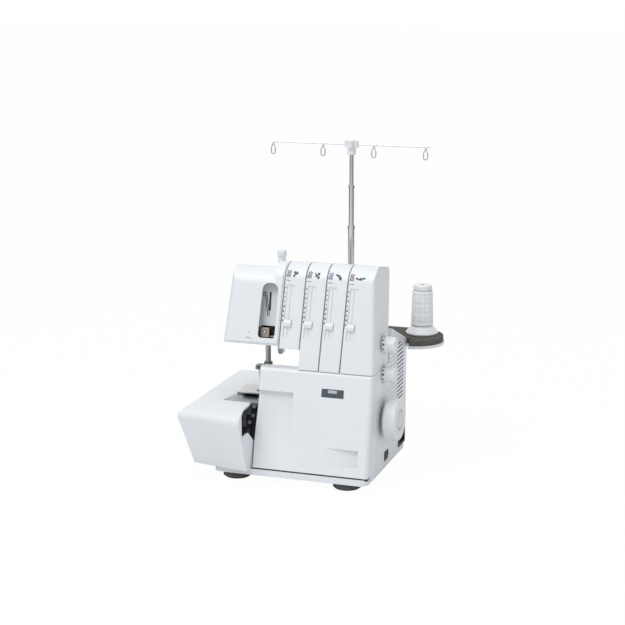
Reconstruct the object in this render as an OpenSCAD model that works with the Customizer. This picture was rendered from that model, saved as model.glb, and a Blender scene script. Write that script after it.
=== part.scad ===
// Serger overlock machine with a telescopic thread stand.
// Millimetres, +Z up, +X to the machine's right, the sewing side faces -Y.
// The origin is the bottom centre of the whole machine's bounding box.
// Inside the file the pieces are placed in a bench frame: x = 0 is the right
// side of the body, y = 0 the front edge of the base, z = 0 the table it stands on.

/* [Body] */
// How far the main body reaches left of the last thread slot
body_past = 18.6; // [16:0.2:22]
// How far the base pan reaches left of the main body
base_past = 61; // [56:1:66]
// Depth of the body at its base
body_d = 190; // [182:1:200]
// Height of the seam between the lower and upper covers
seam_z = 152; // [148:1:156]
// Backward lean of the front face, in degrees
lean = 10.75; // [9:0.25:12]
// Wall thickness of the moulded covers
wall = 2.5; // [2:0.1:3]
// Gap between neighbouring covers
seam_gap = 0.6; // [0.4:0.1:1]
// Rounding of the moulded edges
edge_r = 6; // [4:0.5:8]

/* [Base and feet] */
// Height of the rubber feet
foot_h = 10; // [8:0.5:12]
// Diameter of the rubber feet
foot_d = 38; // [30:1:40]
// Distance of a foot's centre from the base pan's edges
foot_inset = 27; // [24:1:32]
// Height of the base pan
pan_h = 8; // [6:0.5:10]

/* [Upper housing] */
// Distance of the first thread slot from the right side
slot_first = 46.4; // [44:0.2:48]
// Distance between thread slots
panel_pitch = 29; // [28:0.2:30]
// Width of a thread slot
slot_w = 2; // [1.6:0.1:2.4]
// Depth of a thread slot
slot_depth = 7; // [5:0.5:8]
// Sideways tilt of the slots, in degrees
slot_tilt = 2.2; // [1.5:0.1:3]
// Draft of the right side, in degrees
side_draft = 2.5; // [1.5:0.1:3]
// Depth of the upper housing, square to its front
slab_t = 74; // [72:1:80]
// Height of the upper housing's top
housing_top = 288; // [284:1:292]
// Rounding of the top front edge
top_front_r = 24; // [18:1:28]
// Rounding of the top rear edge
top_rear_r = 14; // [10:1:18]
// Height of the underside of the arm
arm_z = 178; // [175:1:182]

/* [Sewing head] */
// Width of the face cover at its lower edge
head_w = 80.5; // [74:0.5:82]
// Height of the face cover's top
head_top = 279; // [276:1:281]
// Draft of the face cover's left side, in degrees
head_draft = 5; // [3:0.5:6]
// Needle bar's distance from the main body's left side
needle_out = 11; // [10:0.5:13]
// Needle bar's distance from the base's front edge
needle_y = 82; // [80:0.5:84]
// Diameter of the needle bar
needle_bar_d = 7.2; // [6.5:0.1:8]
// Diameter of the presser bar
presser_bar_d = 6; // [5:0.1:7]
// Running clearance round a shaft
run_gap = 0.05; // [0.03:0.01:0.08]

/* [Tension sliders] */
// Width of the slider channel
channel_w = 11; // [9:0.5:12]
// Depth of the slider channel
channel_d = 1.6; // [1:0.1:2]
// Travel of a slider above its stored place
slide_up = 45; // [40:1:48]
// Travel of a slider below its stored place
slide_down = 12; // [8:1:14]

/* [Work table] */
// Width of the needle plate
plate_w = 53; // [50:1:56]
// Height of the table and the needle plate
table_z = 100; // [98:1:103]
// How far the table reaches left of the main body
table_past = 99; // [94:1:104]
// Gap between the main body and the table's right side
table_gap = 7.3; // [7:0.1:9]
// How far the table's front right corner stands before the base
table_front = 43; // [38:1:46]
// Angle of the table's front edge in plan, in degrees
table_angle = 9.5; // [8:0.5:11]
// Inward slope of the table's front
table_under = 34; // [28:1:38]
// Inward slope of the table's left side
table_side = 13; // [10:1:16]

/* [Drive] */
// Height of the main shaft
shaft_z = 82; // [80:1:84]
// Distance of the main shaft from the base's front edge
shaft_y = 76; // [74:1:78]
// Diameter of the main shaft
shaft_d = 10; // [8:0.5:12]
// Diameter of the handwheel
wheel_d = 58; // [54:1:62]
// Width of the handwheel
wheel_w = 19; // [16:1:22]
// Diameter of the two setting dials
dial_d = 23; // [20:1:24]
// Length of the two setting dials
dial_l = 17; // [14:1:19]

/* [Thread stand] */
// How far the tray reaches past the right side
tray_right = 46; // [42:1:50]
// Length of the tray
tray_l = 276; // [270:2:280]
// Depth of the tray
tray_w = 80; // [76:1:84]
// Height of the tray's foam top
tray_top = 165.6; // [164:0.2:168]
// Thickness of the foam pad
foam_t = 8; // [6:0.5:10]
// Thickness of the tray plate
tray_t = 4; // [3:0.5:5]
// Distance between spool pins
pin_pitch = 70; // [66:1:72]
// Diameter of a spool pin
pin_d = 6; // [5:0.5:7]
// Diameter of the pole's lowest tube
pole_d = 9; // [8:0.5:11]
// Height of the thread guides' top
pole_top = 434; // [420:1:440]

/* [Hidden] */
$fn = 48;

base_z = foot_h;
pan_top = base_z + pan_h;
// Widths, all measured from the right side
column_w = slot_first + 2 * panel_pitch;
arm_w = slot_first + 3 * panel_pitch + slot_w;
body_w = arm_w + body_past;
base_w = body_w + base_past;
table_left = body_w + table_past;
table_right = body_w + table_gap;
needle_x = body_w + needle_out;
cos_lean = cos(lean);
stand_y = body_d + 3.5 + 31;
stand_x = tray_right - tray_l / 2;
tray_back = stand_y - 8 + tray_w / 2;
// Shift from the bench frame to the centre of the whole machine
centre_x = (tray_right - table_left) / 2;
centre_y = (tray_back - table_front) / 2;
fit = 0.3;
slot_count = 4;
// Distances along the leaning front, counted from the base
seam_u = (seam_z - base_z) / cos_lean;
function up_front(z, depth = 0) = (z - base_z + depth * sin(lean)) / cos_lean;
function front_y(z) = (z - base_z) * tan(lean);

// ---- outlines ----
function unit(v) = v / norm(v);
function wrap(a) = a > 180 ? a - 360 : a < -180 ? a + 360 : a;
// Points of one corner p = [x, y, radius] between its neighbours a and b
function corner(a, p, b, n) =
    let (o = [p.x, p.y], u = unit([a.x, a.y] - o), v = unit([b.x, b.y] - o),
        half = acos(u * v) / 2, r = p[2])
    r <= 0 ? [o] :
    let (c = o + unit(u + v) * r / sin(half),
        s = o + u * r / tan(half) - c, e = o + v * r / tan(half) - c,
        a0 = atan2(s.y, s.x), d = wrap(atan2(e.y, e.x) - a0))
    [for (i = [0 : n]) c + r * [cos(a0 + d * i / n), sin(a0 + d * i / n)]];
// Closed outline whose corners are rounded, each by its own radius
function rounded(p, n = 7) =
    let (k = len(p))
    [for (i = [0 : k - 1]) each corner(p[(i + k - 1) % k], p[i], p[(i + 1) % k], n)];
function rect_pts(x0, y0, x1, y1, r) = [[x0, y0, r], [x1, y0, r], [x1, y1, r], [x0, y1, r]];

// ---- placing helpers ----
module placed() translate([-centre_x, -centre_y, 0]) children();
// Flat outline in y and z, drawn out from x0 to x1
module along_x(x0, x1) translate([x0, 0, 0]) rotate([90, 0, 90]) linear_extrude(x1 - x0) children();
// Flat outline in x and z, drawn out from y0 to y1
module along_y(y0, y1) translate([0, y1, 0]) rotate([90, 0, 0]) linear_extrude(y1 - y0) children();
// Frame of the leaning front: y is the depth behind it and z runs up along it
module leaned() translate([0, 0, base_z]) rotate([-lean, 0, 0]) children();
module rod_x(x0, x1, y, z, d) translate([x0, y, z]) rotate([0, 90, 0]) cylinder(h = x1 - x0, d = d);
module rod_z(x, y, z0, z1, d) translate([x, y, z0]) cylinder(h = z1 - z0, d = d);
module box(a, b) translate(a) cube(b - a);
module above(z) box([-400, -200, z], [200, 400, 700]);

// ---- shared forms ----
// Height along the lean at which a rounded slab reaches world height z
function slab_top(z) = top_front_r + (z - base_z - top_front_r * (1 - sin(lean))) / cos_lean;
// Upright prism that follows one side edge; side is 1 for a left edge, -1 for a right one
module side_prism(x, tilt, r, side, d)
    translate([x, 0, seam_u]) rotate([0, tilt, 0]) translate([side * d, 0, -200]) linear_extrude(500)
        polygon(rounded([[0, d, r], [side * 300, d, 0], [side * 300, slab_t - d, 0], [0, slab_t - d, r]]));
// Leaning slab with rounded top and side edges, shrunk by d on every face
module slab(z, x_l, tilt_l, r_l, x_r, tilt_r, r_r, d = 0) {
    top = slab_top(z);
    leaned() intersection() {
        along_x(x_l - 40, x_r + 40) polygon(rounded([[d, 0, 0], [slab_t - d, 0, 0],
            [slab_t - d, top - d, top_rear_r - d], [d, top - d, top_front_r - d]], 10));
        side_prism(x_l, tilt_l, r_l, 1, d);
        side_prism(x_r, tilt_r, r_r, -1, d);
    }
}
// Frame of thread slot i: x to its right, y behind the front face, z up along it from the seam
module at_slot(i)
    leaned() translate([-slot_first - i * panel_pitch, 0, seam_u]) rotate([0, slot_tilt, 0]) children();
slot_end = 46;
// Band of one slot: all that lies outside the housing's outline shrunk by depth
module slot_band(w, depth) {
    top = slab_top(housing_top) - seam_u;
    along_x(-w / 2, w / 2) difference() {
        translate([-20, -60]) square([20 + slot_end, 260]);
        polygon(rounded([[depth, -80, 0], [slab_t, -80, 0], [slab_t, top - depth, 0],
            [depth, top - depth, top_front_r - depth]], 10));
    }
}

// ---- base ----
module pan_outline(d) polygon(rounded(rect_pts(-base_w + d, d, -d, body_d - d, 12 - d)));
hinge_y = front_y(24.5) + 6.8;
hinge_z = 24.5;
hinge_d = 4;
hinge_posts = [-body_w + 14, -13];
cover_bottom = pan_top + 1.5;
// Distance of the front cover's lower edge from its hinge
cover_swing = norm([hinge_y - front_y(cover_bottom), hinge_z - cover_bottom]);
module base_pan() color("whitesmoke") {
    difference() {
        translate([0, 0, base_z]) linear_extrude(pan_h) pan_outline(0);
        translate([0, 0, base_z + wall]) linear_extrude(pan_h) pan_outline(wall);
        // way for the front cover's lower edge as it folds down
        rod_x(-24, 1, hinge_y, hinge_z, 2 * cover_swing + 0.8);
    }
    // arms that reach forward and hold the front cover's hinge rod
    for (x = hinge_posts) difference() {
        union() {
            rod_x(x, x + 4, hinge_y, hinge_z, hinge_d + 3);
            box([x, hinge_y, hinge_z - 2.6], [x + 4, hinge_y + 15, hinge_z + 2.6]);
            box([x, hinge_y + 11, base_z + wall - 0.5], [x + 4, hinge_y + 15, hinge_z + 2.6]);
        }
        rod_x(x - 1, x + 5, hinge_y, hinge_z, hinge_d + 2 * run_gap);
    }
}
foot_x = [-base_w + foot_inset, -foot_inset - 6];
foot_y = [foot_inset - 5, body_d - foot_inset + 5];
module rubber_feet() color("dimgray")
    for (x = foot_x, y = foot_y) translate([x, y, 0]) rotate_extrude()
        polygon([[0, 0], [foot_d / 2 - 2.5, 0], [foot_d / 2, 2], [foot_d / 2, foot_h - 3],
            [foot_d / 2 - 2, foot_h], [0, foot_h]]);

// ---- lower covers ----
cover_d = 12;
cover_back = cover_d / cos_lean + seam_gap;
side_t = 10;
side_front = 44;
// Side view of the lower body behind the front cover, shrunk by d
module lower_profile(d)
    polygon(rounded([[front_y(pan_top) + cover_back + d, pan_top + d, 0], [body_d - d, pan_top + d, 0],
        [body_d - d, seam_z - d, max(edge_r - d, 1)], [front_y(seam_z) + cover_back + d, seam_z - d, 0]]));
shaft_hole = shaft_d + 6;
slope_top = [side_front, seam_z];
slope_end = [body_d, 108];
// Lower body whose top falls away to the rear on the left of the column, shrunk by d
module lower_form(d) intersection() {
    along_x(-body_w + d, -d) lower_profile(d);
    union() {
        box([-column_w + d, -50, 0], [50, 300, 300]);
        along_x(-300, 50) polygon([[-50, 0], [-50, seam_z - d], slope_top - [0, 1.05 * d], slope_end - [0, 1.05 * d],
            [body_d + 50, slope_end.y - 12], [body_d + 50, 0]]);
    }
}
module lower_housing() color("white") difference() {
    lower_form(0);
    lower_form(wall);
    box([-body_w + wall, front_y(pan_top) + cover_back + 2 * wall, pan_top - 1],
        [-wall, body_d - wall, pan_top + 2 * wall]);
    for (x = hinge_posts) box([x - 0.6, 0, pan_top - 1], [x + 4.6, hinge_y + 16, hinge_z + 3.4]);
    box([-side_t - seam_gap, side_front - seam_gap, pan_top - 1], [5, body_d + 5, seam_z + 5]);
    // opening behind the front cover, for threading
    box([-body_w + 12, 0, 34], [-62, 40, 128]);
    // opening to the needle side
    box([-body_w - 1, 24, 40], [-body_w + wall + 1, 122, table_z + 4]);
    // opening under the column
    box([-column_w + 8, 54, seam_z - 5], [-14, 106, seam_z + 1]);
}
inlet_y = body_d - 22;
inlet_z = 25.3;
switch_y = 92;
switch_z = 22.6;
dial_y = 74;
feed_dial_z = 143.6;
stitch_dial_z = 184.5;
spindle_d = 8;
louvre_pitch = 5.6;
louvre_h = 2.6;
rear_top = 196;
rear_low = 166;
function column_back(z) = front_y(z) + slab_t / cos_lean + seam_gap;
// Upper edge of the covers behind the column, between its two corners, shrunk by d
function rear_edge(d) = [[body_d - d, rear_low - d, edge_r], [column_back(rear_top) + 4, rear_top - d, 3],
    [column_back(rear_top) + d, rear_top - d, 0], [column_back(seam_z) + d, seam_z + d * 0.2, 0]];
// Level louvres: shallow grooves that open into slots towards the rear
module louvres() for (k = [0 : 14]) {
    z = 88 + k * louvre_pitch;
    open = [body_d - 44, body_d - 14 - max(0, z - 158) * 1.6];
    box([-side_t, open[0], z], [1, open[1], z + louvre_h]);
    box([-1, max(100, column_back(z) + 4), z], [1, open[0] + 1, z + louvre_h]);
}
module side_cover() color("white") difference() {
    along_x(-side_t, 0) polygon(rounded(concat([[side_front, pan_top, 0], [body_d, pan_top, 0]],
        rear_edge(0), [[side_front, seam_z, 0]])));
    along_x(-side_t - 1, -wall) polygon(rounded(concat([[side_front + wall, pan_top + wall, 0],
        [body_d - wall, pan_top + wall, 0]], rear_edge(wall), [[column_back(seam_z) + wall, seam_z - wall, 0],
        [side_front + wall, seam_z - wall, 0]])));
    rod_x(-side_t, 1, shaft_y, shaft_z, shaft_hole);
    rod_x(-side_t, 1, dial_y, feed_dial_z, spindle_d + 2 * run_gap);
    louvres();
    box([-side_t, inlet_y - 15, inlet_z - 6], [1, inlet_y + 15, inlet_z + 11.3]);
    box([-side_t, switch_y - 9.7, switch_z + 3 - 7.1], [1, switch_y + 9.7, switch_z + 3 + 7.1]);
}
// Outline of the cover behind the column, shrunk by d
module rear_profile(d) polygon(rounded(concat([[column_back(seam_z) + d, seam_z + d, 0],
    [body_d - d, seam_z + d, 0]], [for (i = [0 : 2]) rear_edge(d)[i]])));
module rear_cover() color("white") difference() {
    along_x(-column_w, -side_t - seam_gap) rear_profile(0);
    along_x(-column_w + wall, 0) rear_profile(wall);
}

// ---- upper covers ----
rest_w = (212 - base_z) / cos_lean - seam_u;
chan_x0 = slot_w / 2 + 3;
slider_h = 9;
stem_w = 1;
stem_gap = 0.25;
module slider_channel() {
    box([chan_x0, -5, rest_w - slide_down - 6], [chan_x0 + channel_w, channel_d, rest_w + slide_up + 6]);
    box([chan_x0 + channel_w / 2 - stem_w / 2 - stem_gap, 0, rest_w - slide_down - 3.6],
        [chan_x0 + channel_w / 2 + stem_w / 2 + stem_gap, 12, rest_w + slide_up + 3.6]);
}
module upper_form(d, x_l) slab(housing_top, x_l, slot_tilt, 0, 0, -side_draft, edge_r - d, d);
module upper_housing() color("white") difference() {
    union() {
        difference() {
            upper_form(0, -arm_w);
            intersection() {
                upper_form(wall, -arm_w - 30);
                union() {
                    above(arm_z + wall);
                    box([-column_w + wall, -200, seam_z - 20], [200, 400, arm_z + 50]);
                }
            }
        }
        // thick wall round each slot
        intersection() {
            upper_form(0.5, -arm_w);
            for (i = [0 : slot_count - 1]) at_slot(i) slot_band(slot_w + 3, slot_depth + 1.5);
        }
    }
    for (i = [0 : slot_count - 1]) at_slot(i) {
        slot_band(slot_w, slot_depth);
        slider_channel();
    }
    box([-400, -200, -10], [-column_w, 400, arm_z]);
    box([-400, -200, -10], [200, 400, seam_z + seam_gap]);
    rod_x(-12, 5, dial_y, stitch_dial_z, spindle_d + 2 * run_gap);
}
face_r = -arm_w - seam_gap;
step_x = 12;
head_z = arm_z + 2;
// Depth and height of the bevel along the head's lower front edge
head_bevel = [3.6, 5];
window_r = arm_w + 3.6;
window_l = window_r + 24;
knob_x = needle_x - 15;
knob_y = 97;
module face_form(d) {
    slab(head_top, -head_w - arm_w, head_draft, 10 - d, face_r + 10 * sign(d), slot_tilt, 0, d);
    slab(housing_top - 0.5, face_r - step_x, slot_tilt, 4 - d / 2, face_r + 10 * sign(d), slot_tilt, 0, d);
}
module face_cover() color("white") difference() {
    face_form(0);
    intersection() {
        face_form(wall);
        above(head_z + wall + 1);
    }
    box([-400, -200, -10], [200, 400, head_z]);
    // bevel of the lower front edge
    along_x(-300, -100) polygon([[front_y(head_z) - 5, head_z - 1], [front_y(head_z) - 5, head_z + head_bevel.y + 7],
        [front_y(head_z) + head_bevel.x, head_z], [front_y(head_z) + head_bevel.x + 0.7, head_z - 1]]);
    // window over the needle bar, rounded at its top
    leaned() along_y(-5, wall + 8) polygon(rounded([[-window_l, up_front(190), 4], [-window_r, up_front(190), 4],
        [-window_r + 2, up_front(262), 9], [-window_l + 4, up_front(262), 9]]));
    // way out for the bars
    box([-needle_x - 16, needle_y - 12, head_z - 5], [-needle_x + 14, needle_y + 24, head_z + 5]);
    rod_z(-knob_x, knob_y, head_top - 20, head_top + 20, 7);
    // lifter pin
    translate([-lifter_x, 60, lifter_z]) rotate([-90, 0, 0]) cylinder(h = 80, d = lifter_pin + 1);
}

// ---- front cover ----
cover_left = body_w + 3;
cover_flare = 1.5;
scoop_l = cover_left + 15;
scoop_r = column_w + 3.6;
scoop_d = 8;
grip_l = 59;
grip_r = 14;
grip_d = 7.5;
module front_form(d) intersection() {
    along_x(-cover_left - 12, -d) polygon(rounded([[front_y(cover_bottom) + d, cover_bottom + d, 1],
        [front_y(cover_bottom) + 60, cover_bottom + d, 0], [front_y(seam_z) + 60, seam_z - d, 0],
        [front_y(seam_z) + d, seam_z - d, 5]]));
    leaned() side_prism(0, 0, edge_r - d, -1, d);
    leaned() side_prism(-cover_left, cover_flare, 4 - d / 2, 1, d);
    leaned() box([-200, -1, -20], [100, cover_d, 200]);
}
// Long scoop beside the needle, deep at its top and running out below
module scoop(g) leaned() along_x(-scoop_l - g, -scoop_r + g)
    polygon([[-3, up_front(20) - g], [g, up_front(26) - g], [scoop_d + g, up_front(116) + g],
        [scoop_d - 2 + g, up_front(121) + g], [-3, up_front(123) + g]]);
// Finger grip at the right, deep at its right end
module grip(g) leaned() translate([0, 0, up_front(32) - g]) linear_extrude(up_front(55) - up_front(32) + 2 * g)
    polygon([[-grip_l - g, -3], [-grip_l - g, g / 2], [-grip_r - 4 + g, grip_d + g], [-grip_r + g, grip_d - 2 + g],
        [-grip_r + g, -3]]);
cover_lugs = [-body_w + 22, -34];
module looper_cover() color("white") {
    difference() {
        union() {
            difference() {
                front_form(0);
                intersection() {
                    front_form(wall);
                    leaned() box([-200, 0, -20], [100, cover_d + 5, 200]);
                }
                box([-cover_left, front_y(cover_bottom) + wall + 1, cover_bottom - 1],
                    [-wall, 40, cover_bottom + wall + 1]);
                // lower rear corners rounded about the hinge
                difference() {
                    box([-200, hinge_y, 0], [50, 60, hinge_z]);
                    rod_x(-210, 60, hinge_y, hinge_z, 10.6);
                }
            }
            intersection() {
                front_form(0);
                union() {
                    scoop(wall);
                    grip(wall);
                }
            }
        }
        scoop(0);
        grip(0);
    }
    for (x = cover_lugs) difference() {
        union() {
            rod_x(x, x + 8, hinge_y, hinge_z, hinge_d + 3.4);
            box([x, front_y(hinge_z) + wall - 1.5, hinge_z - 2], [x + 8, hinge_y, hinge_z + 2]);
        }
        rod_x(x - 1, x + 9, hinge_y, hinge_z, hinge_d + 2 * run_gap);
    }
}
module cover_hinge_rod() color("silver")
    rod_x(hinge_posts[0] - 9, hinge_posts[1] + 6, hinge_y, hinge_z, hinge_d);

// ---- work table ----
plate_t = 3.3;
plate_r = body_w + 4;
plate_l = plate_r + plate_w;
plate_y0 = 34;
plate_y1 = 112;
module plate_outline(g) polygon([[-plate_l - 2 * g, plate_y0 - g], [-plate_r + g, plate_y0 - 2 - g],
    [-plate_r + g, plate_y1 + g], [-plate_l + 14 - g, plate_y1 + g]]);
table_bottom = pan_top + 0.5;
table_r = edge_r + 3;
// How far a rounded top edge draws back the edge above a side that slopes in by run over rise
function drawn_back(run, rise) = let (b = atan2(run, rise)) table_r * ((1 + sin(b)) / cos(b) - 1);
table_h = table_z - table_bottom;
module table_form(d) intersection() {
    along_y(-80, body_d - 2 - d) translate([-table_left - drawn_back(table_side, table_h) + d, 0])
        polygon(rounded([[table_side, table_bottom, 0], [150, table_bottom, 0], [150, table_z - d, 0],
            [0, table_z - d, table_r - d]]));
    translate([-table_right, -table_front, 0]) rotate([0, 0, -table_angle]) along_x(-150, 150)
        translate([-drawn_back(table_under, table_h) + d, 0])
        polygon(rounded([[table_under, table_bottom, 0], [400, table_bottom, 0], [400, table_z - d, 0],
            [0, table_z - d, table_r - d]]));
}
module cloth_plate() color("white") difference() {
    intersection() {
        table_form(0);
        union() {
            box([-300, -100, 0], [-table_right, 300, 120]);
            box([-300, plate_y1 + seam_gap, 0], [-body_w - seam_gap, 300, 120]);
        }
    }
    intersection() {
        translate([0, 0, -0.1]) table_form(wall);
        union() {
            box([-300, -100, 0], [-table_right - wall, 300, 120]);
            box([-300, 64, 0], [-100, 300, 120]);
        }
    }
    translate([0, 0, table_z - 20]) linear_extrude(40) plate_outline(seam_gap);
    // opening over the loopers
    translate([-table_right, 0, table_z - 30]) linear_extrude(40) polygon([[0.3, -33], [-8.2, -3], [-9.7, 26],
        [-11.7, plate_y0 + 2], [12, plate_y0 + 2], [12, -33]]);
    along_x(-table_right - wall - 1, -table_right + 20) polygon([[-33, table_z + 5], [-16, 88], [-7, 70], [8, 58],
        [30, 40], [70, 40], [70, table_z + 5]]);
}
needle_gap = 4.5;
needles_x = [needle_x + 8, needle_x + 8 + needle_gap];
needles_y = needle_y - 2;
dog_x = [-needle_x - 34, -needle_x - 20];
dog_y = [72, 98];
dog_step = 3;
module needle_plate() color("slategray") difference() {
    translate([0, 0, table_z - plate_t + 0.3]) linear_extrude(plate_t) plate_outline(0);
    box([-needles_x[1] - 3, needles_y - 4, table_z - 10], [-needles_x[0] + 3, needles_y + 4, table_z + 10]);
    box([dog_x[0] - 1.5, dog_y[0] - dog_step - 1, table_z - 10],
        [dog_x[1] + 1.5, dog_y[1] + dog_step + 1, table_z + 10]);
    box([-knife_x - 0.7, 61, table_z - 10], [-plate_r - 2, 75, table_z + 10]);
}

// ---- castings ----
bed_top = table_z - plate_t + 0.3;
// Left face of the moving knife's shank
knife_x = needle_x - 0.4;
looper_y = 50;
looper_z = 56;
looper_d = 8;
bush_d = 16;
post_x = [-74, -44];
web_x = [-body_w + 6, -34];
motor_d = 52;
motor_y = body_d - 44;
// Rear face of the bed casting, just before the motor
bed_back = motor_y - motor_d / 2 - 4;
module bed_casting() color("darkgray") difference() {
    union() {
        // arm under the needle plate
        box([-plate_l + 5, 40, 70], [-needle_x - 3, 110, bed_top]);
        box([-needle_x - 3.5, bed_back - 18, 60], [web_x[0] + 2, bed_back - 6, 92]);
        // shield below the arm, in front of the drive
        box([-plate_l + 5, 40, 42], [-needle_x - 3.5, 44, 71]);
        // floor and the two shaft walls
        box([web_x[0], 34, base_z + wall], [web_x[1] + 8, motor_y + 4, pan_top + 4]);
        for (x = web_x) box([x, 46, pan_top], [x + 8, bed_back + 6, 112]);
        box([web_x[0], bed_back - 6, pan_top], [web_x[1] + 8, bed_back, 100]);
        // guide of the moving knife
        box([-needle_x + 4.9, 84, 62], [-body_w - 1, bed_back - 17.5, 82]);
        // seat of the arm casting
        box([post_x[0] - 8, 58, 100], [web_x[1] + 8, 104, 130]);
        box([post_x[0] - 8, bed_back - 18, 60], [web_x[1] + 8, bed_back - 5, 104]);
    }
    // pocket of the feed dog
    box([dog_x[0] - 2.5, 64, 76], [-needle_x - 5.5, 104, bed_top + 1]);
    // bores
    rod_x(web_x[0] - 2, web_x[1] + 10, shaft_y, shaft_z, bush_d);
    rod_x(web_x[0] - 2, web_x[0] + 10, looper_y, looper_z, looper_d + 2 * run_gap);
    box([web_x[0] + 8, 40, shaft_z - 20], [web_x[1], bed_back - 19, 99]);
}
arm_back = [98, 104];
arm_shaft_y = 91;
arm_shaft_z = 214;
arm_shaft_d = 8;
presser_x = needle_x + 4;
presser_y = needle_y + 12;
lift = 6;
guide_z = [184, 200];
lifter_x = needle_x - 7;
lifter_z = 192;
lifter_pin = 6;
spring_z = [209, 232];
module arm_casting() color("darkgray") difference() {
    union() {
        box([post_x[0], 60, 130], [post_x[1], 96, 240]);
        box([post_x[0], 60, 188], [post_x[1], arm_back[1], 240]);
        box([-needle_x - 21, arm_back[0], 184], [post_x[0] + 1, arm_back[1], 240]);
        // guide lug of the two bars
        box([-needle_x - 19, needle_y - 11, guide_z[0]], [-needle_x + 11, arm_back[0] + 1, guide_z[1]]);
        // upper lug of the presser bar, and of the pressure screw
        box([-needle_x - 19, 88, spring_z[1]], [-knob_x + 8, arm_back[0] + 1, 240]);
        // lugs of the arm shaft
        for (x = [-needle_x + 15, post_x[0] - 18]) box([x, 84, arm_shaft_z - 9], [x + 6, arm_back[0] + 1, arm_shaft_z + 9]);
    }
    box([-presser_x - 7, 80, guide_z[1]], [-presser_x + 7, arm_back[0] + 2.6, spring_z[1]]);
    rod_z(-needle_x, needle_y, guide_z[1], 250, needle_bar_d + 6);
    rod_z(-needle_x, needle_y, guide_z[0] - 1, guide_z[1] + 1, needle_bar_d + 5);
    rod_z(-presser_x, presser_y, guide_z[0] - 1, 250, presser_bar_d + 2 * run_gap);
    rod_z(-knob_x, knob_y, spring_z[1] - 5, 250, 5 + 2 * run_gap);
    rod_x(-needle_x - 25, post_x[0] + 0.5, arm_shaft_y, arm_shaft_z, arm_shaft_d + 2 * run_gap);
    translate([-lifter_x, 95, lifter_z]) rotate([-90, 0, 0]) cylinder(h = 30, d = lifter_pin + 2 * run_gap);
}

// ---- feed, knives and loopers ----
module feed_dog() color("silver") {
    box([dog_x[0], dog_y[0], 76.3], [dog_x[1], dog_y[1], table_z - 2]);
    // two rows of teeth
    for (x = [dog_x[0], dog_x[1] - 5], k = [0 : 7]) translate([x, dog_y[0] + 1 + 3 * k, table_z - 2.2])
        rotate([90, 0, 90]) linear_extrude(5) polygon([[0, 0], [2.8, 0], [2.6, 2.3], [1.8, 2.3]]);
}
module lower_knife() color("silver")
    box([-knife_x - 3.2, 60, 78], [-knife_x - 0.8, 74, bed_top]);
knife_d = 6;
module upper_knife() color("silver") {
    box([-knife_x, 84, 66], [-knife_x + 4.2, 96, 90]);
    box([-knife_x, 64, 86], [-knife_x + 4.2, 96, 92]);
    along_x(-knife_x - 0.3, -knife_x + 2) polygon([[62, table_z + 1], [74, table_z + 4], [74, 122], [64, 122]]);
    box([-knife_x, 66, 90], [-knife_x + 3.1, 74, 112]);
}
// Curved hook of a looper, from its shank to its point
module looper_hook(r, a0, a1, w) intersection() {
    rotate_extrude($fn = 64) translate([r - w / 2, 0]) square([w, 4]);
    linear_extrude(4) polygon(concat([[0, 0]], [for (i = [0 : 8]) let (a = a0 + (a1 - a0) * i / 8)
        2 * r * [cos(a), sin(a)]]));
}
looper_x = [-body_w - 4, -body_w - 12];
module looper(x, y, z, reach, a1) {
    difference() {
        rod_x(x, x + 4, y, z, looper_d + 7);
        rod_x(x - 1, x + 5, y, z, looper_d + 2 * run_gap);
    }
    difference() {
        box([x, y - 3, z + 5], [x + 4, y + 3, z + reach]);
        rod_x(x - 1, x + 5, y, z, looper_d + 2 * run_gap);
    }
    translate([x, y - 12, z + reach]) rotate([90, 0, 90]) looper_hook(12, 0, a1, 5);
}
module lower_looper() color("silver") looper(looper_x[0] - 0.5, looper_y, looper_z, 22, 110);
module upper_looper() color("silver") looper(looper_x[1] - 0.5, looper_y, looper_z, 12, 85);
module looper_shaft() color("gray")
    rod_x(looper_x[1] - 2, -100, looper_y, looper_z, looper_d);

// ---- main shaft and drive ----
module main_shaft() color("silver") {
    rod_x(web_x[0] - 4, wheel_x0 + wheel_w - 2, shaft_y, shaft_z, shaft_d);
    // eccentric that drives the connecting rod
    rod_x(-112, -106, shaft_y, shaft_z - 4, 24);
}
module shaft_bushes() color("goldenrod") for (x = web_x) difference() {
    rod_x(x, x + 8, shaft_y, shaft_z, bush_d);
    rod_x(x - 1, x + 9, shaft_y, shaft_z, shaft_d + 2 * run_gap);
}
wheel_x0 = 5;
module handwheel() color("whitesmoke") translate([wheel_x0, shaft_y, shaft_z]) rotate([0, 90, 0])
    rotate_extrude($fn = 96) polygon(rounded([[shaft_d / 2, 0, 0], [wheel_d / 2 - 3, 0, 2], [wheel_d / 2, 3, 2],
        [wheel_d / 2 - 1, wheel_w, 3], [15, wheel_w, 1.5], [13.5, wheel_w - 5, 1], [shaft_d / 2, wheel_w - 5, 0]]));

module wheel_cap() color("lightgray") translate([wheel_x0 + wheel_w - 5, shaft_y, shaft_z]) rotate([0, 90, 0])
    difference() {
        cylinder(h = 4, d = 20);
        translate([0, 0, -1]) cylinder(h = 4, d = shaft_d + 0.1);
        translate([-8, -1.2, 3]) cube([16, 2.4, 2]);
    }
pulley_x = -24;
pulley_w = 8;
big_pulley = 56;
small_pulley = 16;
motor_z = 58;
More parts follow.
